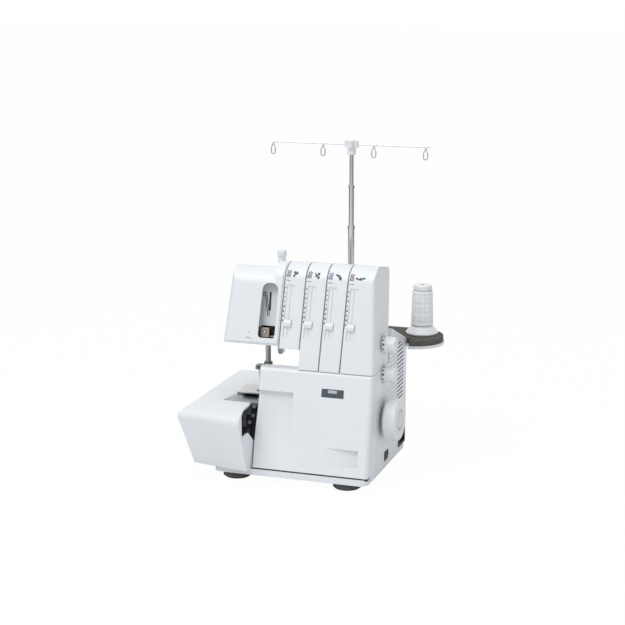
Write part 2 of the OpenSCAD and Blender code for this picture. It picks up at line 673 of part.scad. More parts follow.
// Toothed pulley with n grooves between two flanges
module pulley(d, n, bore) difference() {
    union() {
        translate([0, 0, 0.6]) linear_extrude(pulley_w - 1.2) polygon([for (k = [0 : n - 1], c = [[-0.3, 0], [-0.18, -1],
            [0.18, -1], [0.3, 0]]) let (a = 360 / n * (k + c[0])) (d / 2 + c[1]) * [cos(a), sin(a)]]);
        cylinder(h = 1, d = d + 3);
        translate([0, 0, pulley_w - 1]) cylinder(h = 1, d = d + 3);
    }
    if (bore > 0) translate([0, 0, -1]) cylinder(h = pulley_w + 2, d = bore);
}
module drive_pulley() color("dimgray")
    translate([pulley_x, shaft_y, shaft_z]) rotate([0, 90, 0]) pulley(big_pulley, 28, shaft_d);
module motor_pulley() color("silver") {
    translate([pulley_x, motor_y, motor_z]) rotate([0, 90, 0]) pulley(small_pulley, 8, 0);
    rod_x(pulley_x - 9, pulley_x + 0.5, motor_y, motor_z, 5);
}
belt_t = 1.5;
belt_gap = 0.3;
belt_len = norm([motor_y - shaft_y, motor_z - shaft_z]);
belt_dir = atan2(motor_z - shaft_z, motor_y - shaft_y);
belt_spread = asin((big_pulley - small_pulley) / 2 / belt_len);
// Outline of the belt's loop at distance g outside both pulleys
function belt_loop(g) = concat(
    [for (i = [0 : 24]) let (a = 90 - belt_spread + (180 + 2 * belt_spread) * i / 24)
        (big_pulley / 2 + g) * [cos(a), sin(a)]],
    [for (i = [0 : 12]) let (a = -90 + belt_spread + (180 - 2 * belt_spread) * i / 12)
        [belt_len, 0] + (small_pulley / 2 + g) * [cos(a), sin(a)]]);
module timing_belt() color("black")
    translate([pulley_x + 1.3, shaft_y, shaft_z]) rotate([belt_dir, 0, 0]) along_x(0, pulley_w - 2.6) difference() {
        polygon(belt_loop(belt_gap + belt_t));
        polygon(belt_loop(belt_gap));
    }
module motor() color("gray") difference() {
    union() {
        rod_x(-100, -36, motor_y, motor_z, motor_d);
        rod_x(-36, pulley_x - 6, motor_y, motor_z, 16);
        // feet of the motor on the base pan
        for (x = [-92, -54]) box([x, motor_y - 20, base_z + wall], [x + 10, motor_y + 20, motor_z - 10]);
    }
    rod_x(-60, pulley_x, motor_y, motor_z, 5 + 2 * run_gap);
    box([-120, motor_y - 46, base_z], [-20, motor_y + 4.5, pan_top + 4.5]);
}

// ---- needle bar ----
stroke = 25;
module needle_bar() color("silver") {
    rod_z(-needle_x, needle_y, 140, 232, needle_bar_d);
    rod_z(-needle_x, needle_y, 228, 234, needle_bar_d + 5);
    // thread guide at the top
    translate([-needle_x, needle_y, 233]) cylinder(h = 8, d = 3);
    translate([-needle_x, needle_y, 243]) sphere(d = 8, $fn = 32);
}
clamp_z = [134, 145];
module needle_clamp() color("silver") difference() {
    union() {
        box([-needles_x[1] - 4, needle_y - 6, clamp_z[0]], [-needle_x + 6, needle_y + 5.5, clamp_z[1] - 5]);
        rod_z(-needle_x, needle_y, clamp_z[0], clamp_z[1], needle_bar_d + 4.6);
        // clamp screws
        for (x = needles_x) translate([-x, needle_y - 10, clamp_z[0] + 3]) rotate([-90, 0, 0])
            cylinder(h = 6, d = 3.6, $fn = 24);
    }
    rod_z(-needle_x, needle_y, 140, 150, needle_bar_d);
    for (x = needles_x) rod_z(-x, needles_y, clamp_z[0] - 1, clamp_z[1] + 1, 2);
}
needle_tip = 109;
module needles() color("lightgray") for (x = needles_x) {
    rod_z(-x, needles_y, 126, clamp_z[1] - 5, 2);
    translate([-x, needles_y, needle_tip]) cylinder(h = 17, d1 = 0.5, d2 = 1.3, $fn = 24);
}
module bar_bushes() color("goldenrod") difference() {
    rod_z(-needle_x, needle_y, guide_z[0] - 2, guide_z[1] + 2, needle_bar_d + 5);
    rod_z(-needle_x, needle_y, guide_z[0] - 3, guide_z[1] + 3, needle_bar_d + 2 * run_gap);
}
module arm_shaft() color("silver") rod_x(-needle_x + 6.2, post_x[0] - 10, arm_shaft_y, arm_shaft_z, arm_shaft_d);
lever_swing = 44;
lever_r = 11;
module needle_lever() color("silver") difference() {
    translate([-needle_x + 6.6, arm_shaft_y, arm_shaft_z]) rotate([-lever_swing, 0, 0]) {
        rod_x(0, 5, 0, 0, arm_shaft_d + 5);
        box([0, -lever_r, -2.5], [5, 0, 2.5]);
        rod_x(0, 5, -lever_r, 0, 5);
    }
    rod_x(-needle_x, -needle_x + 25, arm_shaft_y, arm_shaft_z, arm_shaft_d);
}
module thread_guide_block() color("peru") difference() {
    box([-needle_x - 7, 57, 187], [-needle_x + 9, needle_y - 11, 199]);
    translate([-needle_x + 4, 50, 193]) rotate([-90, 0, 0]) cylinder(h = 12, d = 4, $fn = 24);
}

// ---- presser ----
sole_z = table_z + 0.6;
ankle_z = sole_z + 6;
module presser_bar() color("silver") {
    rod_z(-presser_x, presser_y, ankle_z + 6, 243, presser_bar_d);
    rod_z(-presser_x, presser_y, 206, spring_z[0], 11);
    // foot holder
    difference() {
        box([-presser_x - 5, presser_y - 5, ankle_z + 3.4], [-presser_x + 5, presser_y + 5, ankle_z + 16]);
        rod_z(-presser_x, presser_y, ankle_z + 6, 140, presser_bar_d);
    }
    for (s = [-1, 1]) box([-presser_x + s * 4 - 1, presser_y - 3, ankle_z - 2.4], [-presser_x + s * 4 + 1, presser_y + 3, ankle_z + 4]);
    rod_x(-presser_x - 5, -presser_x + 5, presser_y, ankle_z, 2.4);
}
module presser_foot() color("lightgray") difference() {
    union() {
        along_x(-needle_x - 39, -needle_x - 3.5) polygon([[56, sole_z + 5], [58, sole_z + 3.5], [66, sole_z], [presser_y - 2, sole_z],
            [presser_y + 9, sole_z + 3.2], [presser_y + 9, sole_z + 4], [66, sole_z + 2.6], [58, sole_z + 6]]);
        box([-presser_x - 2.6, presser_y - 3, sole_z + 2], [-presser_x + 2.6, presser_y + 3, ankle_z + 2.4]);
    }
    box([-needles_x[1] - 3, needles_y - 4, sole_z - 1], [-needles_x[0] + 3, needles_y + 4, sole_z + 9]);
    rod_x(-presser_x - 9, -presser_x + 9, presser_y, ankle_z, 2.4 + 2 * run_gap);
    translate([-needle_x - 39, 52, sole_z - 1]) rotate([0, 0, -28]) cube([12, 30, 12], center = true);
    // room for the holder's two cheeks
    for (s = [-1, 1]) box([-presser_x + s * 4 - 1.4, presser_y - 4, ankle_z - 3.6], [-presser_x + s * 4 + 1.4, presser_y + 4, ankle_z + 6]);
}
spring_turns = 7;
spring_wire = 1.4;
spring_r = 4.6;
// One closed tube along a helix
module presser_spring() color("silver") {
    n = spring_turns * 14;
    m = 6;
    rise = spring_z[1] - spring_z[0] - spring_wire;
    pts = [for (i = [0 : n], j = [0 : m - 1]) let (a = 360 * spring_turns * i / n, b = 360 * j / m,
        r = spring_r + spring_wire / 2 * cos(b))
        [r * cos(a), r * sin(a), spring_wire / 2 + rise * i / n + spring_wire / 2 * sin(b)]];
    sides = [for (i = [0 : n - 1], j = [0 : m - 1]) let (k = (j + 1) % m)
        [i * m + j, (i + 1) * m + j, (i + 1) * m + k, i * m + k]];
    ends = [[for (j = [0 : m - 1]) j], [for (j = [m - 1 : -1 : 0]) n * m + j]];
    translate([-presser_x, presser_y, spring_z[0]]) polyhedron(pts, concat(sides, ends));
}
lifter_y = front_y(lifter_z) + slab_t / cos_lean;
module lifter_lever() color("silver") {
    translate([-lifter_x, 100, lifter_z]) rotate([-90, 0, 0]) cylinder(h = lifter_y + 3 - 100, d = lifter_pin);
    along_y(lifter_y + 1, lifter_y + 5) polygon(rounded([[-lifter_x - 5, lifter_z + 5, 4.5],
        [-lifter_x - 2.6, 151, 2], [-lifter_x + 2.6, 151, 2], [-lifter_x + 5, lifter_z + 5, 4.5]]));
    along_y(lifter_y + 1, lifter_y + 9) polygon(rounded([[-lifter_x - 4, 160, 2], [-lifter_x - 3.4, 149, 3],
        [-lifter_x + 3.4, 149, 3], [-lifter_x + 4, 160, 2]]));
}
module pressure_knob() color("white") {
    rod_z(-knob_x, knob_y, 228, 284, 5);
    translate([-knob_x, knob_y, 0]) rotate_extrude() polygon(rounded([[0, 275.8, 0], [5, 275.8, 1], [5.2, 288, 1],
        [6.4, 291, 2], [6.2, 298, 2.5], [0, 298.6, 0]]));
}

// ---- tension units ----
module tension_slider(i) color("white") at_slot(i) translate([chan_x0 + channel_w / 2, 0, rest_w]) {
    along_x(-channel_w / 2 + 0.4, channel_w / 2 - 0.4) polygon(rounded([[channel_d - 0.3, -slider_h / 2, 0],
        [channel_d - 0.3, slider_h / 2, 0], [-2, slider_h / 2, 1.4], [-3.2, 0, 0], [-2, -slider_h / 2, 1.4]]));
    box([-stem_w / 2, channel_d - 0.4, -3], [stem_w / 2, wall + 2.4, 3]);
    box([-4, wall + 0.4, -3.5], [4, wall + 2.8, 3.5]);
}
module tension_slider_1() tension_slider(3);
module tension_slider_2() tension_slider(2);
module tension_slider_3() tension_slider(1);
module tension_slider_4() tension_slider(0);
disc_w = 96;
module tension_discs() color("silver") for (i = [0 : slot_count - 1]) at_slot(i)
    translate([0, slot_depth + 1.5, disc_w]) {
        rotate([-90, 0, 0]) cylinder(h = 12, d = 4);
        for (s = [1, 4]) translate([0, s, 0]) rotate([-90, 0, 0]) cylinder(h = 1, d = 16);
    }

// ---- dials, switch, inlet, lamp ----
module dial(z) translate([0.6, dial_y, z]) rotate([0, 90, 0]) {
    difference() {
        rotate_extrude() polygon(rounded([[0, 0, 0], [dial_d / 2, 0, 0.6], [dial_d / 2, 4, 0.6], [dial_d / 2 - 1, 5, 0.4],
            [dial_d / 2 - 1.6, dial_l, 2], [0, dial_l, 0]]));
        for (a = [0 : 20 : 340]) rotate(a) translate([dial_d / 2 + 0.4, 0, 5]) cylinder(h = dial_l, d = 2.6, $fn = 16);
    }
    translate([-dial_d / 2 - 3, -1.5, 0.5]) cube([8, 3, 4]);
    translate([0, 0, -12]) cylinder(h = 13, d = spindle_d);
}
module stitch_dial() color("white") dial(stitch_dial_z);
module feed_dial() color("white") dial(feed_dial_z);
rocker_tilt = 8;
module power_switch() color("black") translate([-3, switch_y, switch_z + 3]) {
    rotate([0, rocker_tilt / 2, 0]) along_y(-9.2, 9.2) polygon([[-5, -6.5], [2.6, -6.5], [4, 0], [2.6, 6.5], [-5, 6.5]]);
    // pivot pins
    translate([0, 9.5, 0]) rotate([90, 0, 0]) cylinder(h = 19, d = 3, $fn = 24);
}
module power_inlet() color("black") {
    difference() {
        union() {
            box([-9, inlet_y - 14.6, inlet_z - 5.6], [0, inlet_y + 14.6, inlet_z + 10.9]);
            box([0, inlet_y - 16, inlet_z - 7], [1, inlet_y + 16, inlet_z + 12.3]);
        }
        box([-6, inlet_y - 12, inlet_z - 3], [3, inlet_y + 12, inlet_z + 8]);
    }
    for (k = [-1 : 1]) box([-6.5, inlet_y + 7 * k - 1, inlet_z + 2 + (k == 0 ? 1.5 : 0)], [-1, inlet_y + 7 * k + 1, inlet_z + 5 + (k == 0 ? 1.5 : 0)]);
}
module lamp() color("lightyellow")
    box([-needle_x - 35, 56, head_z - 2.6], [-needle_x - 21, 76, head_z]);

// ---- thread stand ----
tray_z = tray_top - foam_t - tray_t;
// Tray outline with round ends, notched round the body, shrunk by d
module tray_outline(d) difference() {
    polygon(rounded(rect_pts(stand_x - tray_l / 2 + d, stand_y - 8 - tray_w / 2 + d, tray_right - d,
        stand_y - 8 + tray_w / 2 - d, tray_w / 2 - d - 0.5), 14));
    polygon([[-column_w - 6 - d, 0], [5 + d, 0], [5 + d, body_d + 2 + d], [-column_w - 6 - d, body_d + 2 + d]]);
}
pin_collar = pin_d + 3;
pins_x = [for (k = [0 : 3]) stand_x + (k - 1.5) * pin_pitch];
module thread_tray() color("white") difference() {
    union() {
        translate([0, 0, tray_z]) linear_extrude(tray_t) tray_outline(0);
        // socket of the pole
        translate([stand_x, stand_y, tray_z - 36]) cylinder(h = 36 + tray_t, d = 22);
        // brackets on the back of the body
        for (x = [stand_x - 10, stand_x + 34]) along_x(x, x + 8)
            polygon([[body_d + 0.2, tray_z - 34], [body_d + 8, tray_z - 34], [stand_y + 16, tray_z + 0.5],
                [body_d + 3, tray_z + 0.5], [body_d + 0.2, tray_z - 4]]);
        box([stand_x - 10, body_d + 0.2, tray_z - 34], [stand_x + 42, body_d + 4, tray_z - 4]);
        box([stand_x - 4, body_d + 3, tray_z - 34], [stand_x + 4, stand_y - 8, tray_z + 1]);
    }
    translate([stand_x, stand_y, tray_z - 34]) cylinder(h = 60, d = pole_d);
    for (x = pins_x) rod_z(x, stand_y, tray_z - 5, tray_z + 20, pin_d - 2);
}
module foam_pad() color("dimgray") difference() {
    translate([0, 0, tray_z + tray_t]) linear_extrude(foam_t) tray_outline(1);
    rod_z(stand_x, stand_y, tray_z, 200, pole_d + 4);
    for (x = pins_x) rod_z(x, stand_y, tray_z, 200, pin_collar + 0.6);
}
module spool_pins() color("white") for (x = pins_x) {
    rod_z(x, stand_y, tray_z, tray_z + tray_t, pin_d - 2);
    rod_z(x, stand_y, tray_z + tray_t, tray_top, pin_collar);
    rod_z(x, stand_y, tray_top, tray_z + 60, pin_d);
    translate([x, stand_y, tray_z + 60]) cylinder(h = 4, d1 = pin_d, d2 = pin_d - 3);
}
pole_joints = [tray_z - 34, 314, 371, pole_top - 14];
pole_ds = [pole_d, pole_d - 1.6, pole_d - 3.2];
module pole_lower() color("silver") difference() {
    union() {
        rod_z(stand_x, stand_y, pole_joints[0], pole_joints[1], pole_ds[0]);
        rod_z(stand_x, stand_y, pole_joints[1] - 5, pole_joints[1], pole_ds[0] + 1.6);
    }
    rod_z(stand_x, stand_y, pole_joints[0] + 3, pole_joints[1] + 1, pole_ds[1] + 2 * run_gap);
}
module pole_middle() color("silver") difference() {
    union() {
        rod_z(stand_x, stand_y, pole_joints[1] - 30, pole_joints[2], pole_ds[1]);
        rod_z(stand_x, stand_y, pole_joints[2] - 4, pole_joints[2], pole_ds[1] + 1.4);
    }
    rod_z(stand_x, stand_y, pole_joints[1] - 31, pole_joints[2] + 1, pole_ds[2] + 2 * run_gap);
}
module pole_upper() color("silver")
    rod_z(stand_x, stand_y, pole_joints[2] - 26, pole_joints[3] + 3, pole_ds[2]);
wire_d = 1.8;
wire_z = pole_top - 6;
eyes_x = [for (k = [0 : 3]) stand_x + (k - 1.5) * (pin_pitch + 3.5)];
eye_out = 16;
eye_wire = 1.5;
eye_w = 7.3;
eye_h = 15;
module guide_hub() color("white") difference() {
    union() {
        rod_z(stand_x, stand_y, pole_joints[3] - 6, pole_top, 12);
        for (a = [0, 90, 180, 270]) rotate_hub(a) rod_z(6, 0, wire_z - 4, pole_top - 1, 8);
    }
    rod_z(stand_x, stand_y, pole_joints[3] - 7, pole_joints[3] + 3, pole_ds[2]);
    rod_x(stand_x - 20, stand_x + 20, stand_y, wire_z, wire_d + 0.1);
}
module rotate_hub(a) translate([stand_x, stand_y, 0]) rotate(a) children();
// Outline of a narrow hanging eye, shrunk by d
module eye_outline(d) let (w = eye_w / 2 - d) polygon(rounded([[-w, d - eye_h, w - 0.05], [w, d - eye_h, w - 0.05],
    [w, -eye_h * 0.4, 1.2], [w * 0.4, -0.4 - d, 0.6], [-w * 0.4, -0.4 - d, 0.6], [-w, -eye_h * 0.4, 1.2]]));
module thread_eye() along_y(-eye_wire / 2, eye_wire / 2) difference() {
    eye_outline(0);
    eye_outline(eye_wire);
}
// Cross wire with four arms that carry hanging thread eyes
module guide_wires() color("silver") {
    rod_x(eyes_x[0] - 2, eyes_x[3] + 2, stand_y, wire_z, wire_d);
    for (x = eyes_x) {
        translate([x, stand_y - eye_out - wire_d / 2, wire_z]) rotate([-90, 0, 0])
            cylinder(h = eye_out + wire_d / 2, d = wire_d - 0.3);
        rod_z(x, stand_y - eye_out, wire_z - 2.4, wire_z + 0.7, eye_wire);
        translate([x, stand_y - eye_out, wire_z - 1]) thread_eye();
    }
}
cone_x = pins_x[3];
cone_gap = 0.3;
cone_z = tray_top + cone_gap;
module cone_holder() color("white") translate([cone_x, stand_y, cone_z]) rotate_extrude($fn = 64)
    polygon(rounded([[pin_d / 2 + 0.5, 0, 0], [22, 0, 1.5], [23, 2.4, 1.2], [15.2, 11, 1], [15.2, 12, 0], [13, 12, 0],
        [11.5, 62, 0], [13.4, 64, 1], [13, 70, 2], [pin_d / 2 + 0.5, 70, 0]]));
module thread_cone() color("snow") translate([cone_x, stand_y, cone_z]) rotate_extrude($fn = 64)
    polygon(rounded([[13, 12, 0], [15.4, 12, 1], [14.4, 58, 2], [12.4, 62, 1], [11.5, 62, 0]]));
module screw_head(d) {
    difference() {
        cylinder(h = 2, d = d, $fn = 24);
        translate([-d / 2, -0.5, 1.2]) cube([d, 1, 2]);
    }
}
module cover_screws() color("silver") {
    // on the rear of the base
    for (x = [-body_w + 14, -20], z = [40, 90]) translate([x, body_d, z]) rotate([-90, 0, 0]) screw_head(7);
    // on the needle plate
    for (y = [plate_y0 + 10, plate_y1 - 8]) translate([-plate_r - 6, y, table_z + 0.3]) screw_head(6);
}

placed() base_pan();
placed() rubber_feet();
placed() lower_housing();
placed() side_cover();
placed() rear_cover();
placed() upper_housing();
placed() face_cover();
placed() looper_cover();
placed() cover_hinge_rod();
placed() cloth_plate();
placed() bed_casting();
placed() arm_casting();
placed() needle_plate();
placed() feed_dog();
placed() lower_knife();
placed() upper_knife();
placed() lower_looper();
placed() upper_looper();
placed() looper_shaft();
placed() main_shaft();
placed() shaft_bushes();
placed() handwheel();
placed() wheel_cap();
placed() drive_pulley();
placed() timing_belt();
placed() motor();
placed() motor_pulley();
placed() needle_bar();
placed() needle_clamp();
placed() needles();
placed() bar_bushes();
placed() arm_shaft();
placed() needle_lever();
placed() thread_guide_block();
placed() presser_bar();
placed() presser_foot();
placed() presser_spring();
placed() lifter_lever();
placed() pressure_knob();
placed() tension_slider_1();
placed() tension_slider_2();
placed() tension_slider_3();
placed() tension_slider_4();
placed() tension_discs();
placed() stitch_dial();
placed() feed_dial();
placed() power_switch();
placed() power_inlet();
placed() lamp();
placed() thread_tray();
placed() foam_pad();
placed() spool_pins();
placed() pole_lower();
placed() pole_middle();
placed() pole_upper();
placed() guide_hub();
placed() guide_wires();
placed() cone_holder();
placed() thread_cone();
placed() cover_screws();
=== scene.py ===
"""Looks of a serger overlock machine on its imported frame.

Adds materials, small fittings, prints, light and a camera. Lengths are metres in the row frame, and
millimetres in the bench, leaned and panel frames.
"""

from dataclasses import dataclass
from enum import Enum
from functools import partial
import logging
import math
from typing import Any, Callable, Optional, Sequence, Union

import bmesh
from bmesh.types import BMesh, BMVert
import bpy
from bpy.types import Material, Mesh, NodeTree, Object
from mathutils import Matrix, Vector


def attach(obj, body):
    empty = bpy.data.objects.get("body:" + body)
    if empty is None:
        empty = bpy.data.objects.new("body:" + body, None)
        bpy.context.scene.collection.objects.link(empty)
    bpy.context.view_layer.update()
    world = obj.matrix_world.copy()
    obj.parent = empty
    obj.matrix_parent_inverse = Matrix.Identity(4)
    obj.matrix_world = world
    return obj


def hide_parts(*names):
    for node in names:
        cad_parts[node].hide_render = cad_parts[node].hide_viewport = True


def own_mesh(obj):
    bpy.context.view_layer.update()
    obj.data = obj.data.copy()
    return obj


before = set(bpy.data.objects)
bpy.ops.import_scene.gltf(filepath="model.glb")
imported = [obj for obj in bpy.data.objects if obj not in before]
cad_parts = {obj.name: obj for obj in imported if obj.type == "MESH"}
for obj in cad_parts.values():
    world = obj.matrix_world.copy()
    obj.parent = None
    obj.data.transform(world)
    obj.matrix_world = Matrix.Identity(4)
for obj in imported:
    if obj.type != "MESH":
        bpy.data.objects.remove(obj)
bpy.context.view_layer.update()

log = logging.getLogger("serger")

Colour = tuple[float, float, float, float]
Pair = tuple[float, float]
Point = tuple[float, float, float]
Box = tuple[float, float, float, float]
Block = tuple[Point, Point]
# Middles and radii of round pieces, and what gives a point from three distances of a frame.
Discs = tuple[tuple[Point, float], ...]
Place = Callable[[float, float, float], Vector]

MM_PER_METRE = 1000
# Where the row frame's origin is in the bench frame, whose x = 0 is the body's right side and whose
# y = 0 is the base's front edge.
CENTRE_X = -103.5
CENTRE_Y = 106.75
# The front's lean, the height where it starts, and the seam between the housings: its height, and
# the distance up the front to it.
LEAN = math.radians(10.75)
BASE_Z = 10.0
SEAM_Z = 152.0
SEAM_U = (SEAM_Z - BASE_Z) / math.cos(LEAN)
# The thread slots' number, first place, pitch and tilt, and the bend at the panels' top.
PANELS = 4
SLOT_FIRST = 46.4
SLOT_PITCH = 29.0
SLOT_TILT = math.radians(2.2)
TOP_U = 287.1
TOP_R = 24.0
# Height of the sliders at rest, and the same as a distance up the panel.
REST_Z = 212.0
REST_W = (REST_Z - BASE_Z) / math.cos(LEAN) - SEAM_U
# The foot of the thread cone's upright axis, in the bench frame.
CONE: Point = (13.0, 224.5, 165.9)

# How far a print stands out of its surface and how far above the surface it starts, in millimetres.
PRINT_LIFT = 0.14
PRINT_START = 0.03

# A body that many pieces share.
MACHINE = "machine"


def grey(level: float, tint: float = 0.0) -> Colour:
    """A linear grey, slightly blue where tint is above zero."""
    return (level - tint, level - tint * 0.3, level + tint * 0.4, 1.0)


def bench(x: float, y: float, z: float) -> Vector:
    """A point of the bench frame in millimetres, as a point of the row frame in metres."""
    return Vector((x - CENTRE_X, y - CENTRE_Y, z)) / MM_PER_METRE


def leaned(x: float, depth: float, u: float) -> Vector:
    """A point of the leaning front's frame, in the row frame.

    Args:
        x: distance to the right of the body's right side, in millimetres.
        depth: distance behind the front face.
        u: distance up along the front face from the base.

    Returns:
        The same point in the row frame, in metres.
    """
    c, s = math.cos(LEAN), math.sin(LEAN)
    return bench(x, u * s + depth * c, BASE_Z + u * c - depth * s)


def panel(index: int, x: float, along: float, lift: float) -> Vector:
    """A point on the surface of one thread panel, whose top bends backwards.

    Args:
        index: the thread slot, counted from the right.
        x: distance to the right of the slot's middle.
        along: distance along the surface, up from the seam.
        lift: distance proud of the surface.

    Returns:
        The point in the row frame, in metres.
    """
    bend = TOP_U - SEAM_U - TOP_R
    if along <= bend:
        depth, w = -lift, along
    else:
        angle = (along - bend) / TOP_R
        depth = TOP_R - (TOP_R + lift) * math.cos(angle)
        w = bend + (TOP_R + lift) * math.sin(angle)
    c, s = math.cos(SLOT_TILT), math.sin(SLOT_TILT)
    return leaned(-SLOT_FIRST - index * SLOT_PITCH + x * c + w * s, depth, SEAM_U - x * s + w * c)


# ---- shader building ----


@dataclass
class Sock:
    """A node socket that takes part in arithmetic: each operator adds a Math node."""

    maker: "Nodes"
    raw: Any

    def _math(self, operation: str, *values: Any) -> "Sock":
        """Adds one Math node on the given values."""
        return self.maker.node("ShaderNodeMath", {"operation": operation}, dict(enumerate(values)))

    def __add__(self, other: Any) -> "Sock":
        """self + other"""
        return self._math("ADD", self, other)

    def __radd__(self, other: Any) -> "Sock":
        """other + self"""
        return self._math("ADD", other, self)

    def __sub__(self, other: Any) -> "Sock":
        """self - other"""
        return self._math("SUBTRACT", self, other)

    def __rsub__(self, other: Any) -> "Sock":
        """other - self"""
        return self._math("SUBTRACT", other, self)

    def __mul__(self, other: Any) -> "Sock":
        """self * other"""
        return self._math("MULTIPLY", self, other)

    def __rmul__(self, other: Any) -> "Sock":
        """other * self"""
        return self._math("MULTIPLY", other, self)

    def __truediv__(self, other: Any) -> "Sock":
        """self / other"""
        return self._math("DIVIDE", self, other)

    def __rtruediv__(self, other: Any) -> "Sock":
        """other / self"""
        return self._math("DIVIDE", other, self)

    def also(self, out: Union[str, int]) -> "Sock":
        """Another output of the same node"""
        return Sock(self.maker, self.raw.node.outputs[out])

    def clamped(self) -> "Sock":
        """self held between 0 and 1"""
        return self._math("MINIMUM", self._math("MAXIMUM", self, 0.0), 1.0)

    def sine(self) -> "Sock":
        """The sine of self"""
        return self._math("SINE", self)

    def swing(self, amount: float) -> "Sock":
        """self, from 0 to 1, as a variation of this size round zero"""
        return (self - 0.5) * amount


@dataclass(frozen=True)
class Mottle:
    """Soft clouds: cells a metre, detail, the level where they start and how fast they rise."""

    scale: float
    detail: float
    start: float
    gain: float


class Nodes:
    """A node tree, with a method that adds any node."""

    def __init__(self, tree: NodeTree, output: str) -> None:
        """Empties a tree but for its output node.

        Args:
            tree: the node tree.
            output: the type of its output node.
        """
        self.tree = tree
        tree.nodes.clear()
        self.output = tree.nodes.new(output)

    def link(self, value: Any, target: Any) -> None:
        """Puts a value or a socket's link on a socket.

        Args:
            value: a plain value or another socket.
            target: the input socket.
        """
        if isinstance(value, Sock):
            self.tree.links.new(value.raw, target)
        else:
            target.default_value = value

    def node(
        self,
        kind: str,
        settings: Optional[dict[str, Any]] = None,
        inputs: Optional[dict[Union[str, int], Any]] = None,
        out: Union[str, int] = 0,
    ) -> Sock:
        """Adds any node.

        Args:
            kind: the node's type.
            settings: its properties, set first.
            inputs: values or sockets for its inputs, by name or number.
            out: the output that is handed back.

        Returns:
            The chosen output socket.
        """
        made = self.tree.nodes.new(kind)
        for key, value in (settings or {}).items():
            setattr(made, key, value)
        for key, value in (inputs or {}).items():
            self.link(value, made.inputs[key])
        return Sock(self, made.outputs[out])


class Shader(Nodes):
    """One material's node tree."""

    def __init__(self, name: str) -> None:
        """Starts a material with only its output node.

        Args:
            name: the material's name.
        """
        self.material = bpy.data.materials.new(name)
        self.material.use_nodes = True
        super().__init__(self.material.node_tree, "ShaderNodeOutputMaterial")

    def place(self) -> Sock:
        """The point on the object, in metres."""
        return self.node("ShaderNodeTexCoord", out="Object")

    def noise(
        self, scale: float, detail: float, rough: float = 0.55, where: Optional[Sock] = None
    ) -> Sock:
        """Noise from 0 to 1 at so many cells a metre."""
        return self.node(
            "ShaderNodeTexNoise",
            None,
            {"Vector": where or self.place(), "Scale": scale, "Detail": detail, "Roughness": rough},
        )

    def clouds(self, mottle: Mottle) -> tuple[Sock, Sock]:
        """The noise of a mottle, and the mask that it gives."""
        cloud = self.noise(mottle.scale, mottle.detail)
        return cloud, ((cloud - mottle.start) * mottle.gain).clamped()

    def cells(self, scale: float) -> Sock:
        """The distance to the middle of the nearest cell, at so many cells a metre."""
        inputs = {"Vector": self.place(), "Scale": scale, "Randomness": 1.0}
        return self.node("ShaderNodeTexVoronoi", None, inputs, out="Distance")

    def vector(self, operation: str, other: Point) -> Sock:
        """The point on the object, worked on with another vector."""
        return self.node(
            "ShaderNodeVectorMath", {"operation": operation}, {0: self.place(), 1: other}
        )

    def mix(self, factor: Any, a: Any, b: Any) -> Sock:
        """A colour between a and b."""
        return self.node("ShaderNodeMix", {"data_type": "RGBA"}, {0: factor, 6: a, 7: b}, out=2)

    def bump(self, height: Sock, distance: float, strength: float) -> Sock:
        """A normal from a height, for a relief of the given depth in metres."""
        inputs = {"Strength": strength, "Distance": distance, "Height": height}
        return self.node("ShaderNodeBump", None, inputs)

    def edges(self, low: float = 0.52, high: float = 0.62) -> Sock:
        """A mask of raised edges, from the surface's pointiness."""
        point = self.node("ShaderNodeNewGeometry", out="Pointiness")
        return ((point - low) / (high - low)).clamped()

    def finish(self, **inputs: Any) -> Material:
        """Adds the surface shader with the given inputs and hands back the material.

        Args:
            inputs: values or sockets by input name, with _ for a space.

        Returns:
            The finished material.
        """
        named = {key.replace("_", " "): value for key, value in inputs.items()}
        self.link(self.node("ShaderNodeBsdfPrincipled", None, named), self.output.inputs["Surface"])
        return self.material


# ---- finishes ----


@dataclass(frozen=True)
class MouldedPlastic:
    """Fine-grained moulded plastic with a slight haze and handled edges."""

    name: str
    colour: Colour
    worn: Colour
    roughness: float = 0.36
    grain: float = 2600.0
    grain_depth: float = 0.00002
    coat: float = 0.15
    coat_roughness: float = 0.25
    ior: float = 1.49
    relief: float = 0.6
    haze: Mottle = Mottle(14.0, 4.0, 0.35, 0.9)
    edge_wear: float = 0.35
    haze_dulling: float = 0.12
    grain_dulling: float = 0.06

    def build(self) -> Material:
        """Makes the material.

        Returns:
            The new material.
        """
        sh = Shader(self.name)
        cloud, mask = sh.clouds(self.haze)
        fine = sh.noise(self.grain, 2.0)
        tone = sh.mix(mask, self.colour, self.worn)
        tone = sh.mix(sh.edges() * self.edge_wear, tone, self.worn)
        rough = self.roughness + cloud.swing(self.haze_dulling) + fine.swing(self.grain_dulling)
        return sh.finish(
            Base_Color=tone,
            Roughness=rough,
            IOR=self.ior,
            Coat_Weight=self.coat,
            Coat_Roughness=self.coat_roughness,
            Normal=sh.bump(fine, self.grain_depth, self.relief),
        )


